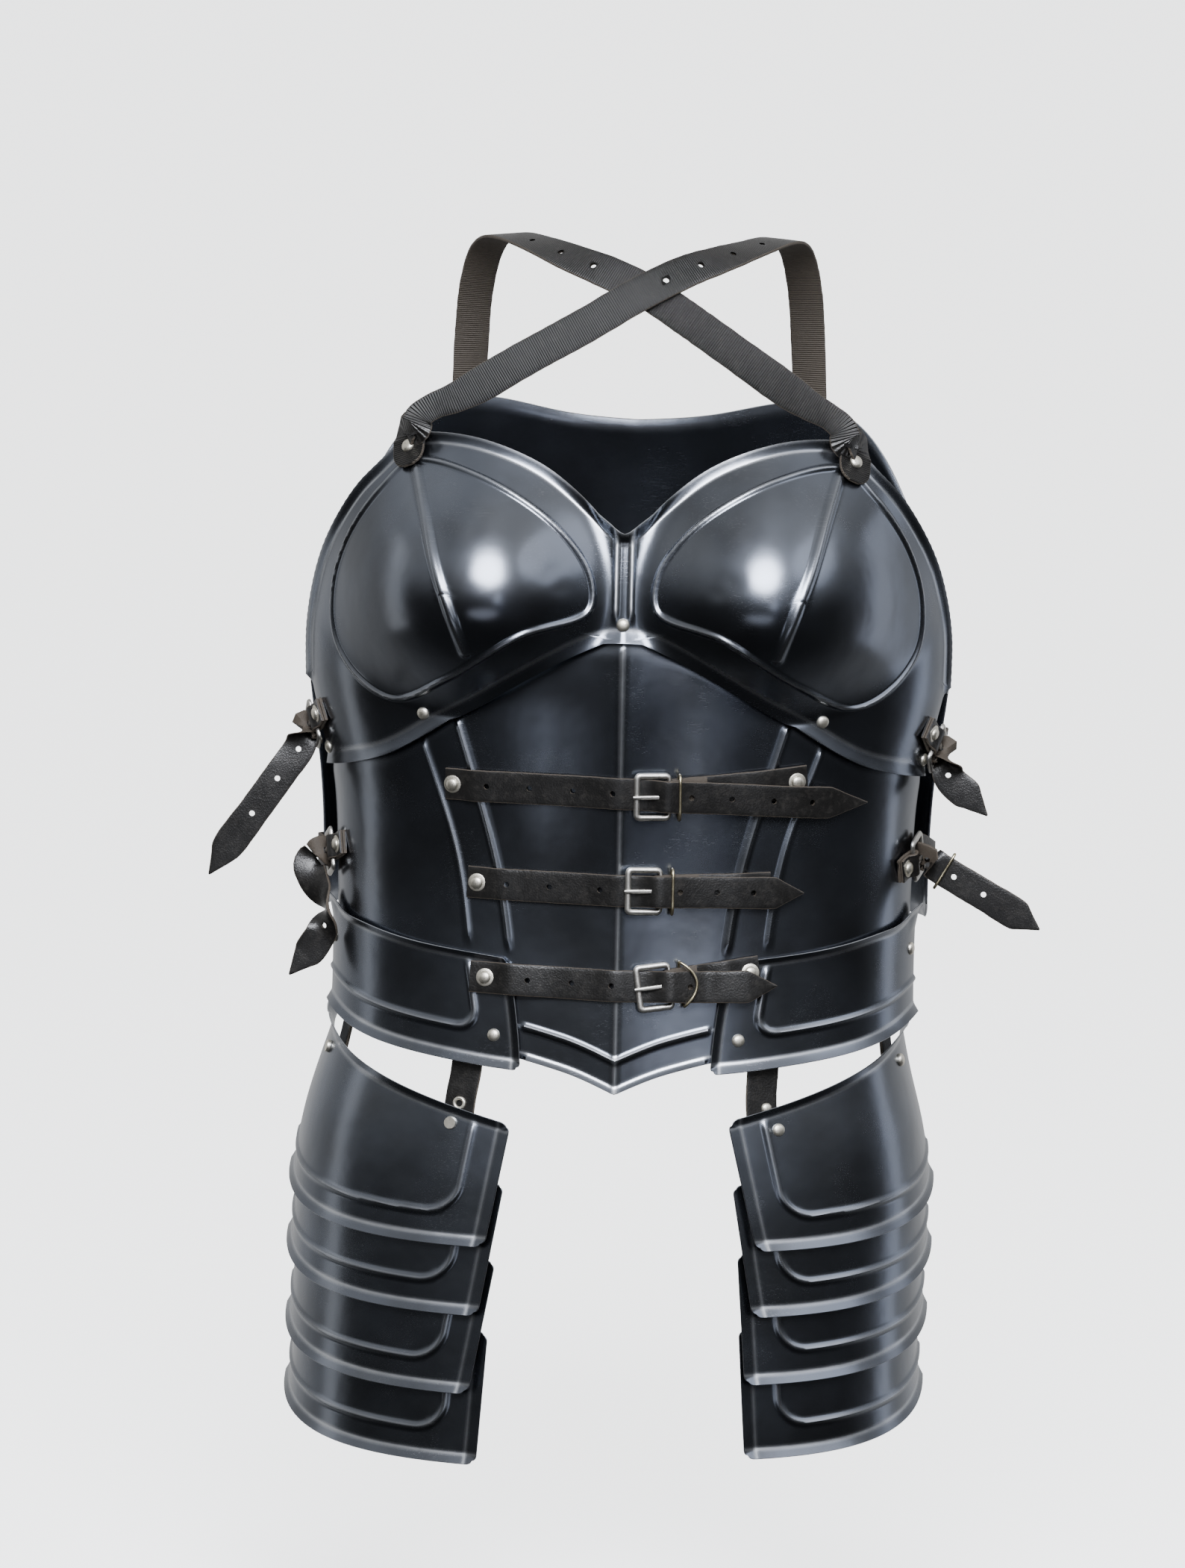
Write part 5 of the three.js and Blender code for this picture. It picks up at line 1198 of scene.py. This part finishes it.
# Front straps: each long strap runs through its buckle from below, with the pointed end free
frontBuckle = {"length": 21, "height": 27, "rail": 3.4, "pivot": 2, "barHeight": 6}
throughBuckle = [
    (-13, 3.8), (-8, 3.8), (-4.5, 4.3), (0, 5.9), (3.5, 8.1), (6, 9.7), (9, 10.5), (12, 10.2), (16, 9.6),
    (23, 8.2), (30, 7.4),
]  # along from the buckle's middle, height over the plate
strapWidth = 17.8
foldWidth = 17.6
strapRivet = {"radius": 3.6, "height": 2.0, "washer": 5.0}
shortLower = [(24, 2.9), (17, 3.2), (12, 3.5)]
shortUpper = [(12, 8), (15, 7.2), (21, 5.6)]
frontStraps = [
    {
        "line": [(-97, 347.2), (0, 349), (60, 351), (133.5, 354.4)],
        "middle": 17, "keeper": 14.7, "bow": 0, "tilt": 0, "upperEnd": 31,
        "left": [(-97, 2.8), (-88.5, 3), (-83.5, 4.6), (-76.5, 4.6), (-65, 3.5), (-20, 3.3), (-1, 3.7)],
        "right": [(62, 6.4), (79, 7.2), (96, 7.9), (113, 6.8)], "tip": (133.5, 5.2),
        "short": [(102, 3.7), (92, 3.8), (78, 4.5), (62, 3.2)],
        "shortLine": [(17, 350.3), (60, 346), (102, 341)],
        "holes": [-73.8, -50.4, -25.8, -3.5, 38.7, 60.9, 83.2, 103.5], "rivet": -93, "anchor": 96.4,
    },
    {
        "line": [(-83.8, 402), (0, 403.6), (50, 403.9), (100.6, 404.6)],
        "middle": 13, "keeper": 15.5, "bow": 0, "tilt": 0, "upperEnd": 31,
        "left": [(-83.8, 2.7), (-76, 3), (-66.5, 4.4), (-52, 3.4), (-20, 3.3)],
        "right": [(54, 6.7), (66, 6.8), (85, 6.4)], "tip": (100.6, 5.4),
        "short": [(83.5, 2.8), (76, 3.1), (66.5, 4.4), (54, 3.2)],
        "shortLine": [(13, 403.5), (50, 402.6), (83.5, 401.5)],
        "holes": [-61.9, -38.3, -9.6, 33, 53.7, 73.4], "rivet": -78.5, "anchor": None,
    },
    {
        "line": [(-80.5, 454.7), (0, 456.8), (45, 457), (86.1, 456.4)],
        "middle": 19.9, "keeper": 15.5, "bow": 8, "tilt": -8, "upperEnd": 25,
        "left": [
            (-80.5, 6.3), (-74, 5.7), (-67, 5.9), (-59.5, 7.4), (-50, 6), (-35, 3.6), (-15, 3.3), (-1, 3.7),
        ],
        "right": [(58.5, 9.4), (71, 10.6)], "tip": (86.1, 9.6),
        "short": [(77.5, 6.7), (66, 6.8), (58.5, 7.2), (50, 5.2)],
        "shortLine": [(19.9, 457.4), (50, 452.6), (77.5, 448)],
        "holes": [-48.9, -24.6, -2, 39.9], "rivet": -72.2, "anchor": 72.4,
    },
]


def frontKeeper(place, at, bow):
    # A wire loop round the strap; a slack one bows forwards over the leather
    low = 5.2
    high = 11.8
    corner = 1.6
    side = 12.3
    ring = [(at, a, low) for a in (-10.4, 0, 10.4)] + [(at, side, low + corner), (at, side, high - corner)]
    for a, rise in ((9.5, 0), (5, 0.015), (0, 0.02), (-5, 0.015), (-9.5, 0)):
        ring.append((at + bow * (1 - (a / 12.4) ** 2), a, high + bow * rise))
    ring += [(at, -side, high - corner), (at, -side, low + corner)]
    return wireRing([onBench(place, *row) for row in ring])


def frontStrap(number, strap):
    length = frontBuckle["length"]
    barHeight = frontBuckle["barHeight"]
    lineDrop = column(strap["line"], 0, 1)
    shortDrop = column(strap["shortLine"], 0, 1)
    middle = strap["middle"]
    middleDrop = shortDrop(middle)
    turn = torsoAngle(middle, middleDrop)
    lean = math.tan(strap["tilt"] * degree)
    place = bench(torsoPoint(turn, middleDrop), outward(torsoPoint, turn, middleDrop), (1, 0, -lean))

    def station(x, drop, height):
        angle = torsoAngle(x, drop)
        surface = torsoPoint(angle, drop)
        normal = outward(torsoPoint, angle, drop)
        away = surface - place["at"]
        flat = surface + place["z"] * (height - away.dot(place["z"]))
        flatness = 1 - ease(13, 24, abs(x - middle))
        return (surface + normal * height) * (1 - flatness) + flat * flatness, normal

    def acrossAt(x, drop, side=1):
        # leather lies square to its own run over the plate
        ahead = station(x + 2, drop, 0)[0] - station(x - 2, drop, 0)[0]
        return np.cross(ahead * side, station(x, drop, 0)[1])

    path = strap["left"] + [(middle + a, h) for a, h in throughBuckle] + strap["right"]
    tipX, tipHeight = strap["tip"]
    stations = [(station(x, lineDrop(x), h)[0], acrossAt(x, lineDrop(x)), strapWidth) for x, h in path]
    lastX = path[-1][0]
    for share, width in ((0.06, 17.0), (0.5, 9.3), (1, 0.8)):
        x = lastX + (tipX - lastX) * share
        height = path[-1][1] + (tipHeight - path[-1][1]) * share
        stations.append((station(x, lineDrop(x), height)[0], acrossAt(x, lineDrop(x)), width))
    heights = sorted(path + [strap["tip"]])

    def heightAt(x):
        return np.interp(x, [row[0] for row in heights], [row[1] for row in heights])

    slot = prongSlot(place, length, barHeight)
    holes = [station(x, lineDrop(x), heightAt(x)) for x in strap["holes"]]
    leatherPiece(f"front_strap_{number}", stations, holes, [slot])

    def shortAt(x, h):
        return station(x, shortDrop(x), h)[0], acrossAt(x, shortDrop(x), -1), foldWidth

    loop = [shortAt(x, h) for x, h in strap["short"]] + [shortAt(middle + a, h) for a, h in shortLower]
    turned = unit(loop[-1][1])
    loop += foldStations(place, turned, length, barHeight, foldWidth)
    for a, h in shortUpper + [(strap["upperEnd"], 5.3)]:
        loop.append((shortAt(middle + a, h)[0], turned, foldWidth))
    leatherPiece(f"buckle_strap_{number}", loop, (), [slot], step=1.0)

    metalPiece(f"front_buckle_{number}", frameMesh(place, **frontBuckle), nickelSurface)
    metalPiece(f"front_prong_{number}", prongMesh(place, length, barHeight), nickelSurface)
    keeper = frontKeeper(place, strap["keeper"], strap["bow"])
    metalPiece(f"front_keeper_{number}", keeper, wireSurface, "wire")
    at, out = station(strap["rivet"], lineDrop(strap["rivet"]), heightAt(strap["rivet"]))
    head = merged(rivetParts(at + out * (leather / 2 + rivetGap), out, **strapRivet))
    metalPiece(f"front_rivet_{number}", head, rivetSurface)
    if strap["anchor"]:
        heightShort = (strap["short"][0][1] + strap["short"][1][1]) / 2
        at, out = station(strap["anchor"], shortDrop(strap["anchor"]), heightShort)
        head = merged(rivetParts(at + out * (leather / 2 + rivetGap), out, **strapRivet))
        metalPiece(f"buckle_rivet_{number}", head, rivetSurface)


for number, strap in enumerate(frontStraps, 1):
    frontStrap(number, strap)

# Shoulder straps: riveted to the bust plate, crossed below the throat, over the shoulders to the back plate
shoulderStraps = [
    {
        "name": "over", "start": -1, "rivetAcross": 119, "rivetDrop": 164.5,
        "path": [
            (-119, 149, -88, 19, (-0.1, -1, 0.1)), (-116.5, 143, -87, 16, (-0.1, -1, 0.1)),
            (-109, 137.5, -86.5, 15, (-0.1, -1, 0.1)), (-98, 133, -86, 17, (-0.1, -1, 0.1)),
            (-84, 125.5, -85, 20, (0, -1, 0.15)), (-60, 111, -83.5, 20, (0, -1, 0.2)),
            (-25, 91, -81, 20, (0, -1, 0.25)), (3, 74, -78, 20, (0, -1, 0.3)),
            (30, 60.5, -69, 20, (0.05, -0.9, 0.5)), (47, 54.5, -55, 20, (0.08, -0.75, 0.7)),
            (66, 48.5, -30, 20, (0.1, -0.4, 0.95)), (79, 45, -6, 20, (0.1, -0.1, 1)),
            (86, 46.5, 14, 20, (0.1, 0.2, 1)), (91, 56, 36, 20, (0.1, 0.55, 0.85)),
            (95, 78, 56, 20, (0.1, 0.8, 0.55)), (97, 108, 72, 20, (0.1, 0.95, 0.3)),
        ],
        "holes": [(15, 66.4), (34.7, 57.3), (52.6, 51.2), (67.8, 43.7), (81.3, 41.4)],
    },
    {
        "name": "under", "start": 1, "rivetAcross": 122.4, "rivetDrop": 168.5,
        "path": [
            (121.5, 153, -86, 19, (0.1, -1, 0.1)), (119, 145.5, -86, 16, (0.1, -1, 0.1)),
            (112, 139.5, -85, 15, (0.1, -1, 0.1)), (101, 133.5, -84, 17, (0.1, -1, 0.1)),
            (89, 126, -82.5, 20, (0, -1, 0.15)), (64, 109, -80, 20, (0, -1, 0.2)),
            (30, 86, -76, 20, (0, -1, 0.25)), (8, 72, -72.5, 20, (0, -1, 0.35)),
            (-13, 62.5, -66, 20, (-0.05, -0.9, 0.5)), (-33, 55.5, -54, 20, (-0.08, -0.75, 0.7)),
            (-54, 48.5, -31, 20, (-0.1, -0.4, 0.95)), (-70, 45, -6, 20, (-0.1, -0.1, 1)),
            (-80, 46.5, 14, 20, (-0.1, 0.2, 1)), (-88, 56, 36, 20, (-0.1, 0.55, 0.85)),
            (-94, 78, 56, 20, (-0.1, 0.8, 0.55)), (-97, 108, 72, 20, (-0.1, 0.95, 0.3)),
        ],
        "holes": [(-19.1, 57.8), (-37.2, 48.9), (-54.1, 40.3)],
    },
]
overPlate = 0.3 + leather / 2


def shoulderStrap(strap):
    start = strap["start"]

    def seat(below, extra, width=20):
        drop = strap["rivetDrop"] + below
        turn = torsoAngle(start * strap["rivetAcross"], drop)
        at = lifted(bustPoint, turn, drop, bustLift + sheet + overPlate + extra)
        return at, outward(bustPoint, turn, drop), width

    backTurn = math.pi - math.asin(97 / backWidth(150))

    def backSeat(drop, extra):
        turn = -start * backTurn
        return lifted(backPoint, turn, drop, sheet + overPlate + extra), outward(backPoint, turn, drop), 20

    rows = [seat(9.4, 1.3, 7), seat(8.4, 1.35, 13), seat(6.4, 1.5, 17.5)]
    rows += [seat(3.5, 1.9), seat(-4.5, 2.8), seat(-8.5, 5.8)]
    for x, drop, y, width, out in strap["path"]:
        rows.append((np.array([x, y, collarHeight - drop]), np.array(out, float), width))
    rows += [backSeat(141, 3), backSeat(152, 1.2), backSeat(170, 0.4)]
    places = np.array([row[0] for row in rows])
    forward = unit(np.gradient(places, axis=0))
    stations = [(at, np.cross(forward[i], out), width) for i, (at, out, width) in enumerate(rows)]
    path, _ = evenCurve([np.concatenate([at, across]) for at, across, _ in stations], 0.5)
    holes = holesOn(path, strap["holes"])
    leatherPiece(f"shoulder_strap_{strap['name']}", stations, holes, surface=ribbedLeather, holeRadius=1.75)
    below = seat(3.5, 1.9)
    above = seat(-4.5, 2.8)
    out = unit(below[1] + above[1])
    at = (below[0] + above[0]) / 2 + out * (leather / 2 + rivetGap)
    metalPiece(f"shoulder_rivet_{strap['name']}", merged(rivetParts(at, out, 4.0, 2.1)), rivetSurface)
    at, out, _ = backSeat(160, 0.9)
    return rivetParts(at + out * leather / 2, out)


strapRivets = []
for strap in shoulderStraps:
    strapRivets += shoulderStrap(strap)

# Side fastenings: a leather tab on a front plate holds a buckle; the strap comes round from the back plate
sideBuckle = {"length": 18, "height": 26, "rail": 3.2, "pivot": 2}
tabLength = 17  # from the buckle's middle to the tab's rivet
tabWidth = 14
backRivetTurn = 113
backEndTurn = 118
sideFastenings = [
    {
        "name": "upper_left", "sign": -1, "turn": 79, "drop": 321,
        "tabDrop": 314, "barHeight": 7.5, "tabBase": 4.9,
        "backDrop": 330, "keeper": None, "holes": [(183, 342), (195, 358.6), (211, 378)],
        "path": [
            (185, 335, -29, 17.8, (0, -1, 0)), (195, 350, -31, 17.8, (0, -1, 0)),
            (211, 373, -33, 17.8, (0, -1, 0)), (226, 394, -34, 17.4, (0, -1, 0)),
            (229, 399, -34.2, 12.5, (0, -1, 0)), (235.5, 409, -34.5, 1, (0, -1, 0)),
        ],
    },
    {
        "name": "lower_left", "sign": -1, "turn": 79, "drop": 395,
        "tabDrop": 389.5, "barHeight": 6, "tabBase": 2.5,
        "backDrop": 400, "keeper": None, "holes": [(170, 440)],
        "path": [
            (179, 402, -31, 17.8, (0, -1, 0)), (176, 410.5, -34, 17.8, (-0.2, -1, 0)),
            (171, 418, -38, 17.8, (-0.8, -0.8, 0)), (167.5, 426, -41, 17.8, (-1, -0.1, 0)),
            (168, 433, -41, 17.8, (-0.8, -0.8, 0)), (170.5, 440, -40, 17.8, (0, -1, 0)),
            (178, 452, -40, 17.4, (0, -1, 0)), (181, 455.5, -40.3, 13, (0, -1, 0)),
            (188.5, 464.5, -41, 1, (0, -1, 0)),
        ],
    },
    {
        "name": "upper_right", "sign": 1, "turn": 78, "drop": 327,
        "tabDrop": 317.5, "barHeight": 7.5, "tabBase": 4.9,
        "backDrop": 330, "keeper": None, "holes": [(179.6, 348)],
        "path": [
            (183, 345, -30, 17.8, (0, -1, 0)), (194, 355, -31, 17.4, (0, -1, 0)),
            (196.5, 357.5, -31.3, 13.5, (0, -1, 0)), (205, 366, -32, 1, (0, -1, 0)),
        ],
    },
    {
        "name": "lower_right", "sign": 1, "turn": 77, "drop": 390,
        "tabDrop": 395.5, "barHeight": 6, "tabBase": 2.5,
        "backDrop": 400, "keeper": 0.3, "holes": [(171, 396), (187, 404), (204.4, 413.8)],
        "path": [
            (178, 396, -31, 17.8, (0, -1, 0)), (190, 403, -32, 17.8, (0, -1, 0)),
            (206, 412, -33, 17.8, (0, -1, 0)), (224, 422.5, -33.5, 17.4, (0, -1, 0)),
            (227, 424.4, -33.6, 13.5, (0, -1, 0)), (236, 430, -34, 1, (0, -1, 0)),
        ],
    },
]


def sideFastening(item):
    name = item["name"]
    sign = item["sign"]
    turn = item["turn"] * degree
    drop = item["drop"]
    barHeight = item["barHeight"]
    tabBase = item["tabBase"]
    tabDrop = item["tabDrop"]
    length = sideBuckle["length"]
    centre = lifted(torsoPoint, sign * turn, drop, 0)
    reach = tabLength / torsoWidth(drop)
    rivetTurn = sign * (turn - reach)
    rivetSpot = lifted(torsoPoint, rivetTurn, tabDrop, tabBase)
    place = bench(centre, outward(torsoPoint, sign * turn, drop), rivetSpot - centre)
    across = -place["y"]

    def low(share, height):
        angle = rivetTurn + (sign * turn - rivetTurn) * share
        return lifted(torsoPoint, angle, tabDrop + (drop - tabDrop) * share, height), across, tabWidth

    def onBack(around, lift):
        angle = sign * around * degree
        slope = (drop - item["backDrop"]) / (backEndTurn - item["turn"])
        height = item["backDrop"] + slope * (backEndTurn - around)
        return lifted(backPoint, angle, height, sheet + overPlate + lift), outward(backPoint, angle, height)

    stations = [
        low(-0.35, tabBase), low(0, tabBase), *foldStations(place, across, length, barHeight, tabWidth),
        (onBench(place, length / 2 + 1, 0, barHeight + 2.1), across, tabWidth),
        low(0.15, tabBase + 2.7), low(-0.35, tabBase + 2.2)]
    slot = prongSlot(place, length, barHeight)
    leatherPiece(f"side_tab_{name}", stations, (), [slot], step=1.0)
    metalPiece(f"side_buckle_{name}", frameMesh(place, **sideBuckle, barHeight=barHeight), nickelSurface)
    metalPiece(f"side_prong_{name}", prongMesh(place, length, barHeight), nickelSurface)

    # from the back plate, up through the buckle and out to the tip: place, outward, sideways, width
    rows = []
    for around, lift in ((backEndTurn, 1), (106, 1.8), (94, 2.2), (89.5, 2.6)):
        rows.append((*onBack(around, lift), None, strapWidth))
    for a, h in ((-9, -2.7), (-6, -2.5), (-3, -1.2), (-0.4, 1.4), (1, 5)):
        rows.append((onBench(place, a, 0, barHeight + h), None, across, strapWidth))
    for x, below, y, width, out in item["path"]:
        at = np.array([sign * x, y, collarHeight - below])
        rows.append((at, np.array([-sign * out[0], out[1], out[2]]), None, width))
    places = np.array([row[0] for row in rows])
    forward = unit(np.gradient(places, axis=0))
    stations = []
    for i, (at, out, sideways, width) in enumerate(rows):
        stations.append((at, sideways if out is None else np.cross(forward[i], out), width))
    path, _ = evenCurve([np.concatenate([at, unit(side)]) for at, side, _ in stations], 0.5)
    leatherPiece(f"side_strap_{name}", stations, holesOn(path, item["holes"], sign), [slot])
    if item["keeper"]:
        first = rows[-len(item["path"])][0]
        second = rows[1 - len(item["path"])][0]
        ringPlace = bench(first + (second - first) * item["keeper"], (0, -1, 0), second - first)
        ring = [(-9, -2), (0, -2), (9, -2), (11, -1), (11, 1), (9, 2), (0, 2), (-9, 2), (-11, 1), (-11, -1)]
        wire = wireRing([onBench(ringPlace, 0, w, h) for w, h in ring])
        metalPiece("side_keeper", wire, wireSurface, "wire")
    at = low(0, tabBase + 2.45 + leather / 2)[0]
    parts = rivetParts(at, outward(torsoPoint, rivetTurn, tabDrop), **strapRivet)
    return parts + rivetParts(*onBack(backRivetTurn, 1.2 + leather / 2))


for item in sideFastenings:
    strapRivets += sideFastening(item)

# Hanger straps: from behind the abdomen plate down behind the lames
hangers = [
    {"name": "front", "turn": 30.5, "joinsHip": 522, "leavesBody": 496, "inset": 1.9},
    {"name": "hip", "turn": 76, "joinsHip": 490, "leavesBody": 474, "inset": 2.5},
]


def hangerStrap(side, sign, hanger):
    turn = hanger["turn"] * degree
    surface = hipPoint(side)
    leaves, joins = hanger["leavesBody"], hanger["joinsHip"]
    stations = []
    for drop in (464, leaves, (leaves + joins) / 2, joins, 545, 580, 625, 676):
        onHip = ease(leaves, joins, drop)
        depth = -hanger["inset"] - leather / 2
        at = lifted(torsoPoint, turn, drop, depth) * (1 - onHip) + lifted(surface, turn, drop, depth) * onHip
        out = outward(surface, turn, drop)
        stations.append((at * [sign, 1, 1], out * [sign, 1, 1], 18))
    places = np.array([row[0] for row in stations])
    forward = unit(np.gradient(places, axis=0))
    stations = [(at, np.cross(forward[i], out), width) for i, (at, out, width) in enumerate(stations)]
    leatherPiece(f"hanger_strap_{side}_{hanger['name']}", stations, step=2.4)


for side, sign in sides.items():
    for hanger in hangers:
        hangerStrap(side, sign, hanger)

# An eyelet shows above the left tasset and a rivet above the right one
hangerEyelet = {"turn": 30.5, "drop": 526, "lift": -1.5, "radius": 2.9, "wire": 1.1}
hangerRivet = {"turn": 31.5, "drop": 525, "lift": -1.9, "radius": 3.2, "height": 1.8}


def eyeletRing():
    surface = hipPoint("left")
    turn = hangerEyelet["turn"] * degree
    drop = hangerEyelet["drop"]
    at = lifted(surface, turn, drop, hangerEyelet["lift"]) * [-1, 1, 1]
    place = bench(at, outward(surface, turn, drop) * [-1, 1, 1], (0, 0, 1))
    circle = [(math.cos(t * degree), math.sin(t * degree)) for t in range(0, 360, 30)]
    radius = hangerEyelet["radius"]
    return wireRing([onBench(place, radius * a, radius * b, 0) for a, b in circle], hangerEyelet["wire"])


strapRivets.append(eyeletRing())
hangerSurface = hipPoint("right")
rivetTurn = hangerRivet["turn"] * degree
rivetAt = lifted(hangerSurface, rivetTurn, hangerRivet["drop"], hangerRivet["lift"])
rivetOut = outward(hangerSurface, rivetTurn, hangerRivet["drop"])
strapRivets += rivetParts(rivetAt, rivetOut, hangerRivet["radius"], hangerRivet["height"])
strapRivetPoints, strapRivetFaces = merged(strapRivets)
makePiece("strap_rivets_nickel", strapRivetPoints, strapRivetFaces, rivetSurface, "nickel_plate", [], 50)

print("stage, camera and lights")


floorGlow = 2.0  # brings the floor up to the backdrop's brightness, so that no horizon shows


def stagePlane(name, size, height, color):
    mesh = bpy.data.meshes.new(name)
    s = size / 2
    mesh.from_pydata([(-s, -s, height), (s, -s, height), (s, s, height), (-s, s, height)], [], [(0, 1, 2, 3)])
    plane = bpy.data.objects.new(name, mesh)
    bpy.context.collection.objects.link(plane)
    material, _, shader, _, _ = newMaterial("matt backdrop paint", {})
    shader.inputs["Base Color"].default_value = linear(color)
    shader.inputs["Roughness"].default_value = 0.9
    shader.inputs["Emission Color"].default_value = linear(color)
    shader.inputs["Emission Strength"].default_value = floorGlow
    mesh.materials.append(material)
    return plane


floor = stagePlane("floor", 400, -0.80, "#f4f5f6")
floor.visible_glossy = False  # the room that the steel mirrors is dark low down
floor.visible_diffuse = False


def rotated(a, b, turn):
    return a * math.cos(turn) + b * math.sin(turn), b * math.cos(turn) - a * math.sin(turn)


cameraView = {
    "azimuth": 2.17, "elevation": 6.0, "roll": 1.05, "distance": 4500, "target": (-17.6, -60, -305),
    "lens": 183.6,
}
azimuth = cameraView["azimuth"] * degree
elevation = cameraView["elevation"] * degree
backwards = Vector((
    math.sin(azimuth) * math.cos(elevation), -math.cos(azimuth) * math.cos(elevation), math.sin(elevation)))
rightward = (-backwards).cross(Vector((0, 0, 1))).normalized()
upward = rightward.cross(-backwards)
rightward, upward = rotated(rightward, upward, cameraView["roll"] * degree)
cameraData = bpy.data.cameras.new("camera")
cameraData.lens = cameraView["lens"]
cameraData.sensor_width = 36
cameraData.clip_end = 600
camera = bpy.data.objects.new("camera", cameraData)
spot = Vector(cameraView["target"]) / 1000 + backwards * cameraView["distance"] / 1000
camera.matrix_world = Matrix((
    (rightward.x, upward.x, backwards.x, spot.x), (rightward.y, upward.y, backwards.y, spot.y),
    (rightward.z, upward.z, backwards.z, spot.z), (0, 0, 0, 1)))
bpy.context.collection.objects.link(camera)
bpy.context.scene.camera = camera


def areaLight(name, place, aim, size, power, color="#ffffff"):
    data = bpy.data.lights.new(name, "AREA")
    data.shape = "RECTANGLE" if "strip" in name else "ELLIPSE"
    data.size, data.size_y = size
    data.energy = power
    data.color = linear(color)[:3]
    light = bpy.data.objects.new(name, data)
    light.location = place
    light.rotation_euler = (Vector(aim) - Vector(place)).to_track_quat("-Z", "Y").to_euler()
    bpy.context.collection.objects.link(light)
    return light


studio = {
    # azimuth from straight ahead, elevation, distance, width and height in metres, watts
    "window": (3, 34, 3.0, 1.75, 1.6, 185, "#f6f8ff"),
    "far window": (66, 34, 3.2, 2.2, 1.8, 16, "#eef3ff"),
    "near card": (15, 4, 3.0, 0.4, 0.7, 1.6, "#f2f5ff"),
    "low card": (-2, -15, 2.6, 1.6, 0.5, 2.3, "#f2f5ff"),
    "side strip left": (-99, 2, 2.6, 0.5, 2.2, 3.5, "#ffffff"),
    "side strip right": (112, 2, 2.6, 0.5, 2.2, 4.5, "#eaf0ff"),
    "blue strip": (18, 0, 3.2, 0.12, 1.4, 0.15, "#7f9fe0"),
}
middle = Vector((0, 0, -0.3))
for name, (turn, height, distance, width, tall, power, color) in studio.items():
    turn *= degree
    height *= degree
    away = Vector((math.sin(turn) * math.cos(height), -math.cos(turn) * math.cos(height), math.sin(height)))
    areaLight(name, middle + away * distance, middle, (width, tall), power, color)

world = bpy.data.worlds.new("studio")
world.use_nodes = True
bpy.context.scene.world = world
tree = world.node_tree
direction = addNode(tree, "TexCoord", output="Generated")
up = addNode(tree, "SeparateXYZ", {"Vector": direction}, "Z")
away = addNode(tree, "SeparateXYZ", {"Vector": direction}, "Y")
# the room is dark in front and below, grey above, and pale behind the armour
above = addNode(tree, "Math", {0: up, 1: 0.5, 2: 0.5}, operation="MULTIPLY_ADD")
above = addNode(tree, "ValToRGB", {0: above}, stops=[
    (0.0, 0.016), (0.47, 0.024), (0.53, 0.08), (0.64, 0.34), (0.8, 0.6), (1.0, 0.72)])
tall = addNode(tree, "Mapping", {"Vector": direction, "Scale": (1, 1, 0.12)})
streaks = addNode(tree, "TexNoise", {"Vector": tall, "Scale": 1 / 0.42, "Detail": 2})
streaks = addNode(tree, "ValToRGB", {0: streaks}, stops=[(0.3, 0.55), (0.7, 1.5)])
above = addNode(tree, "Mix", {0: 1.0, 6: above, 7: streaks}, 2, data_type="RGBA", blend_type="MULTIPLY")
behind = addNode(tree, "Math", {0: away, 1: 0.5, 2: 0.5}, operation="MULTIPLY_ADD")
behind = addNode(tree, "ValToRGB", {0: behind}, stops=[
    (0.0, 0.012), (0.45, 0.03), (0.6, 0.1), (0.72, 0.36), (0.86, 0.62), (1.0, 0.8)])
mirrored = addNode(tree, "Mix", {0: 1.0, 6: above, 7: behind}, 2, data_type="RGBA", blend_type="LIGHTEN")
glossy = addNode(tree, "LightPath", output="Is Glossy Ray")
seen = addNode(tree, "LightPath", output="Is Camera Ray")
tint = addNode(tree, "Mix", {0: glossy, 6: (1.3, 1.31, 1.32, 1), 7: mirrored}, 2, data_type="RGBA")
tint = addNode(tree, "Mix", {0: seen, 6: tint, 7: (3.2, 3.22, 3.24, 1)}, 2, data_type="RGBA")
tree.links.new(tint, tree.nodes["Background"].inputs["Color"])
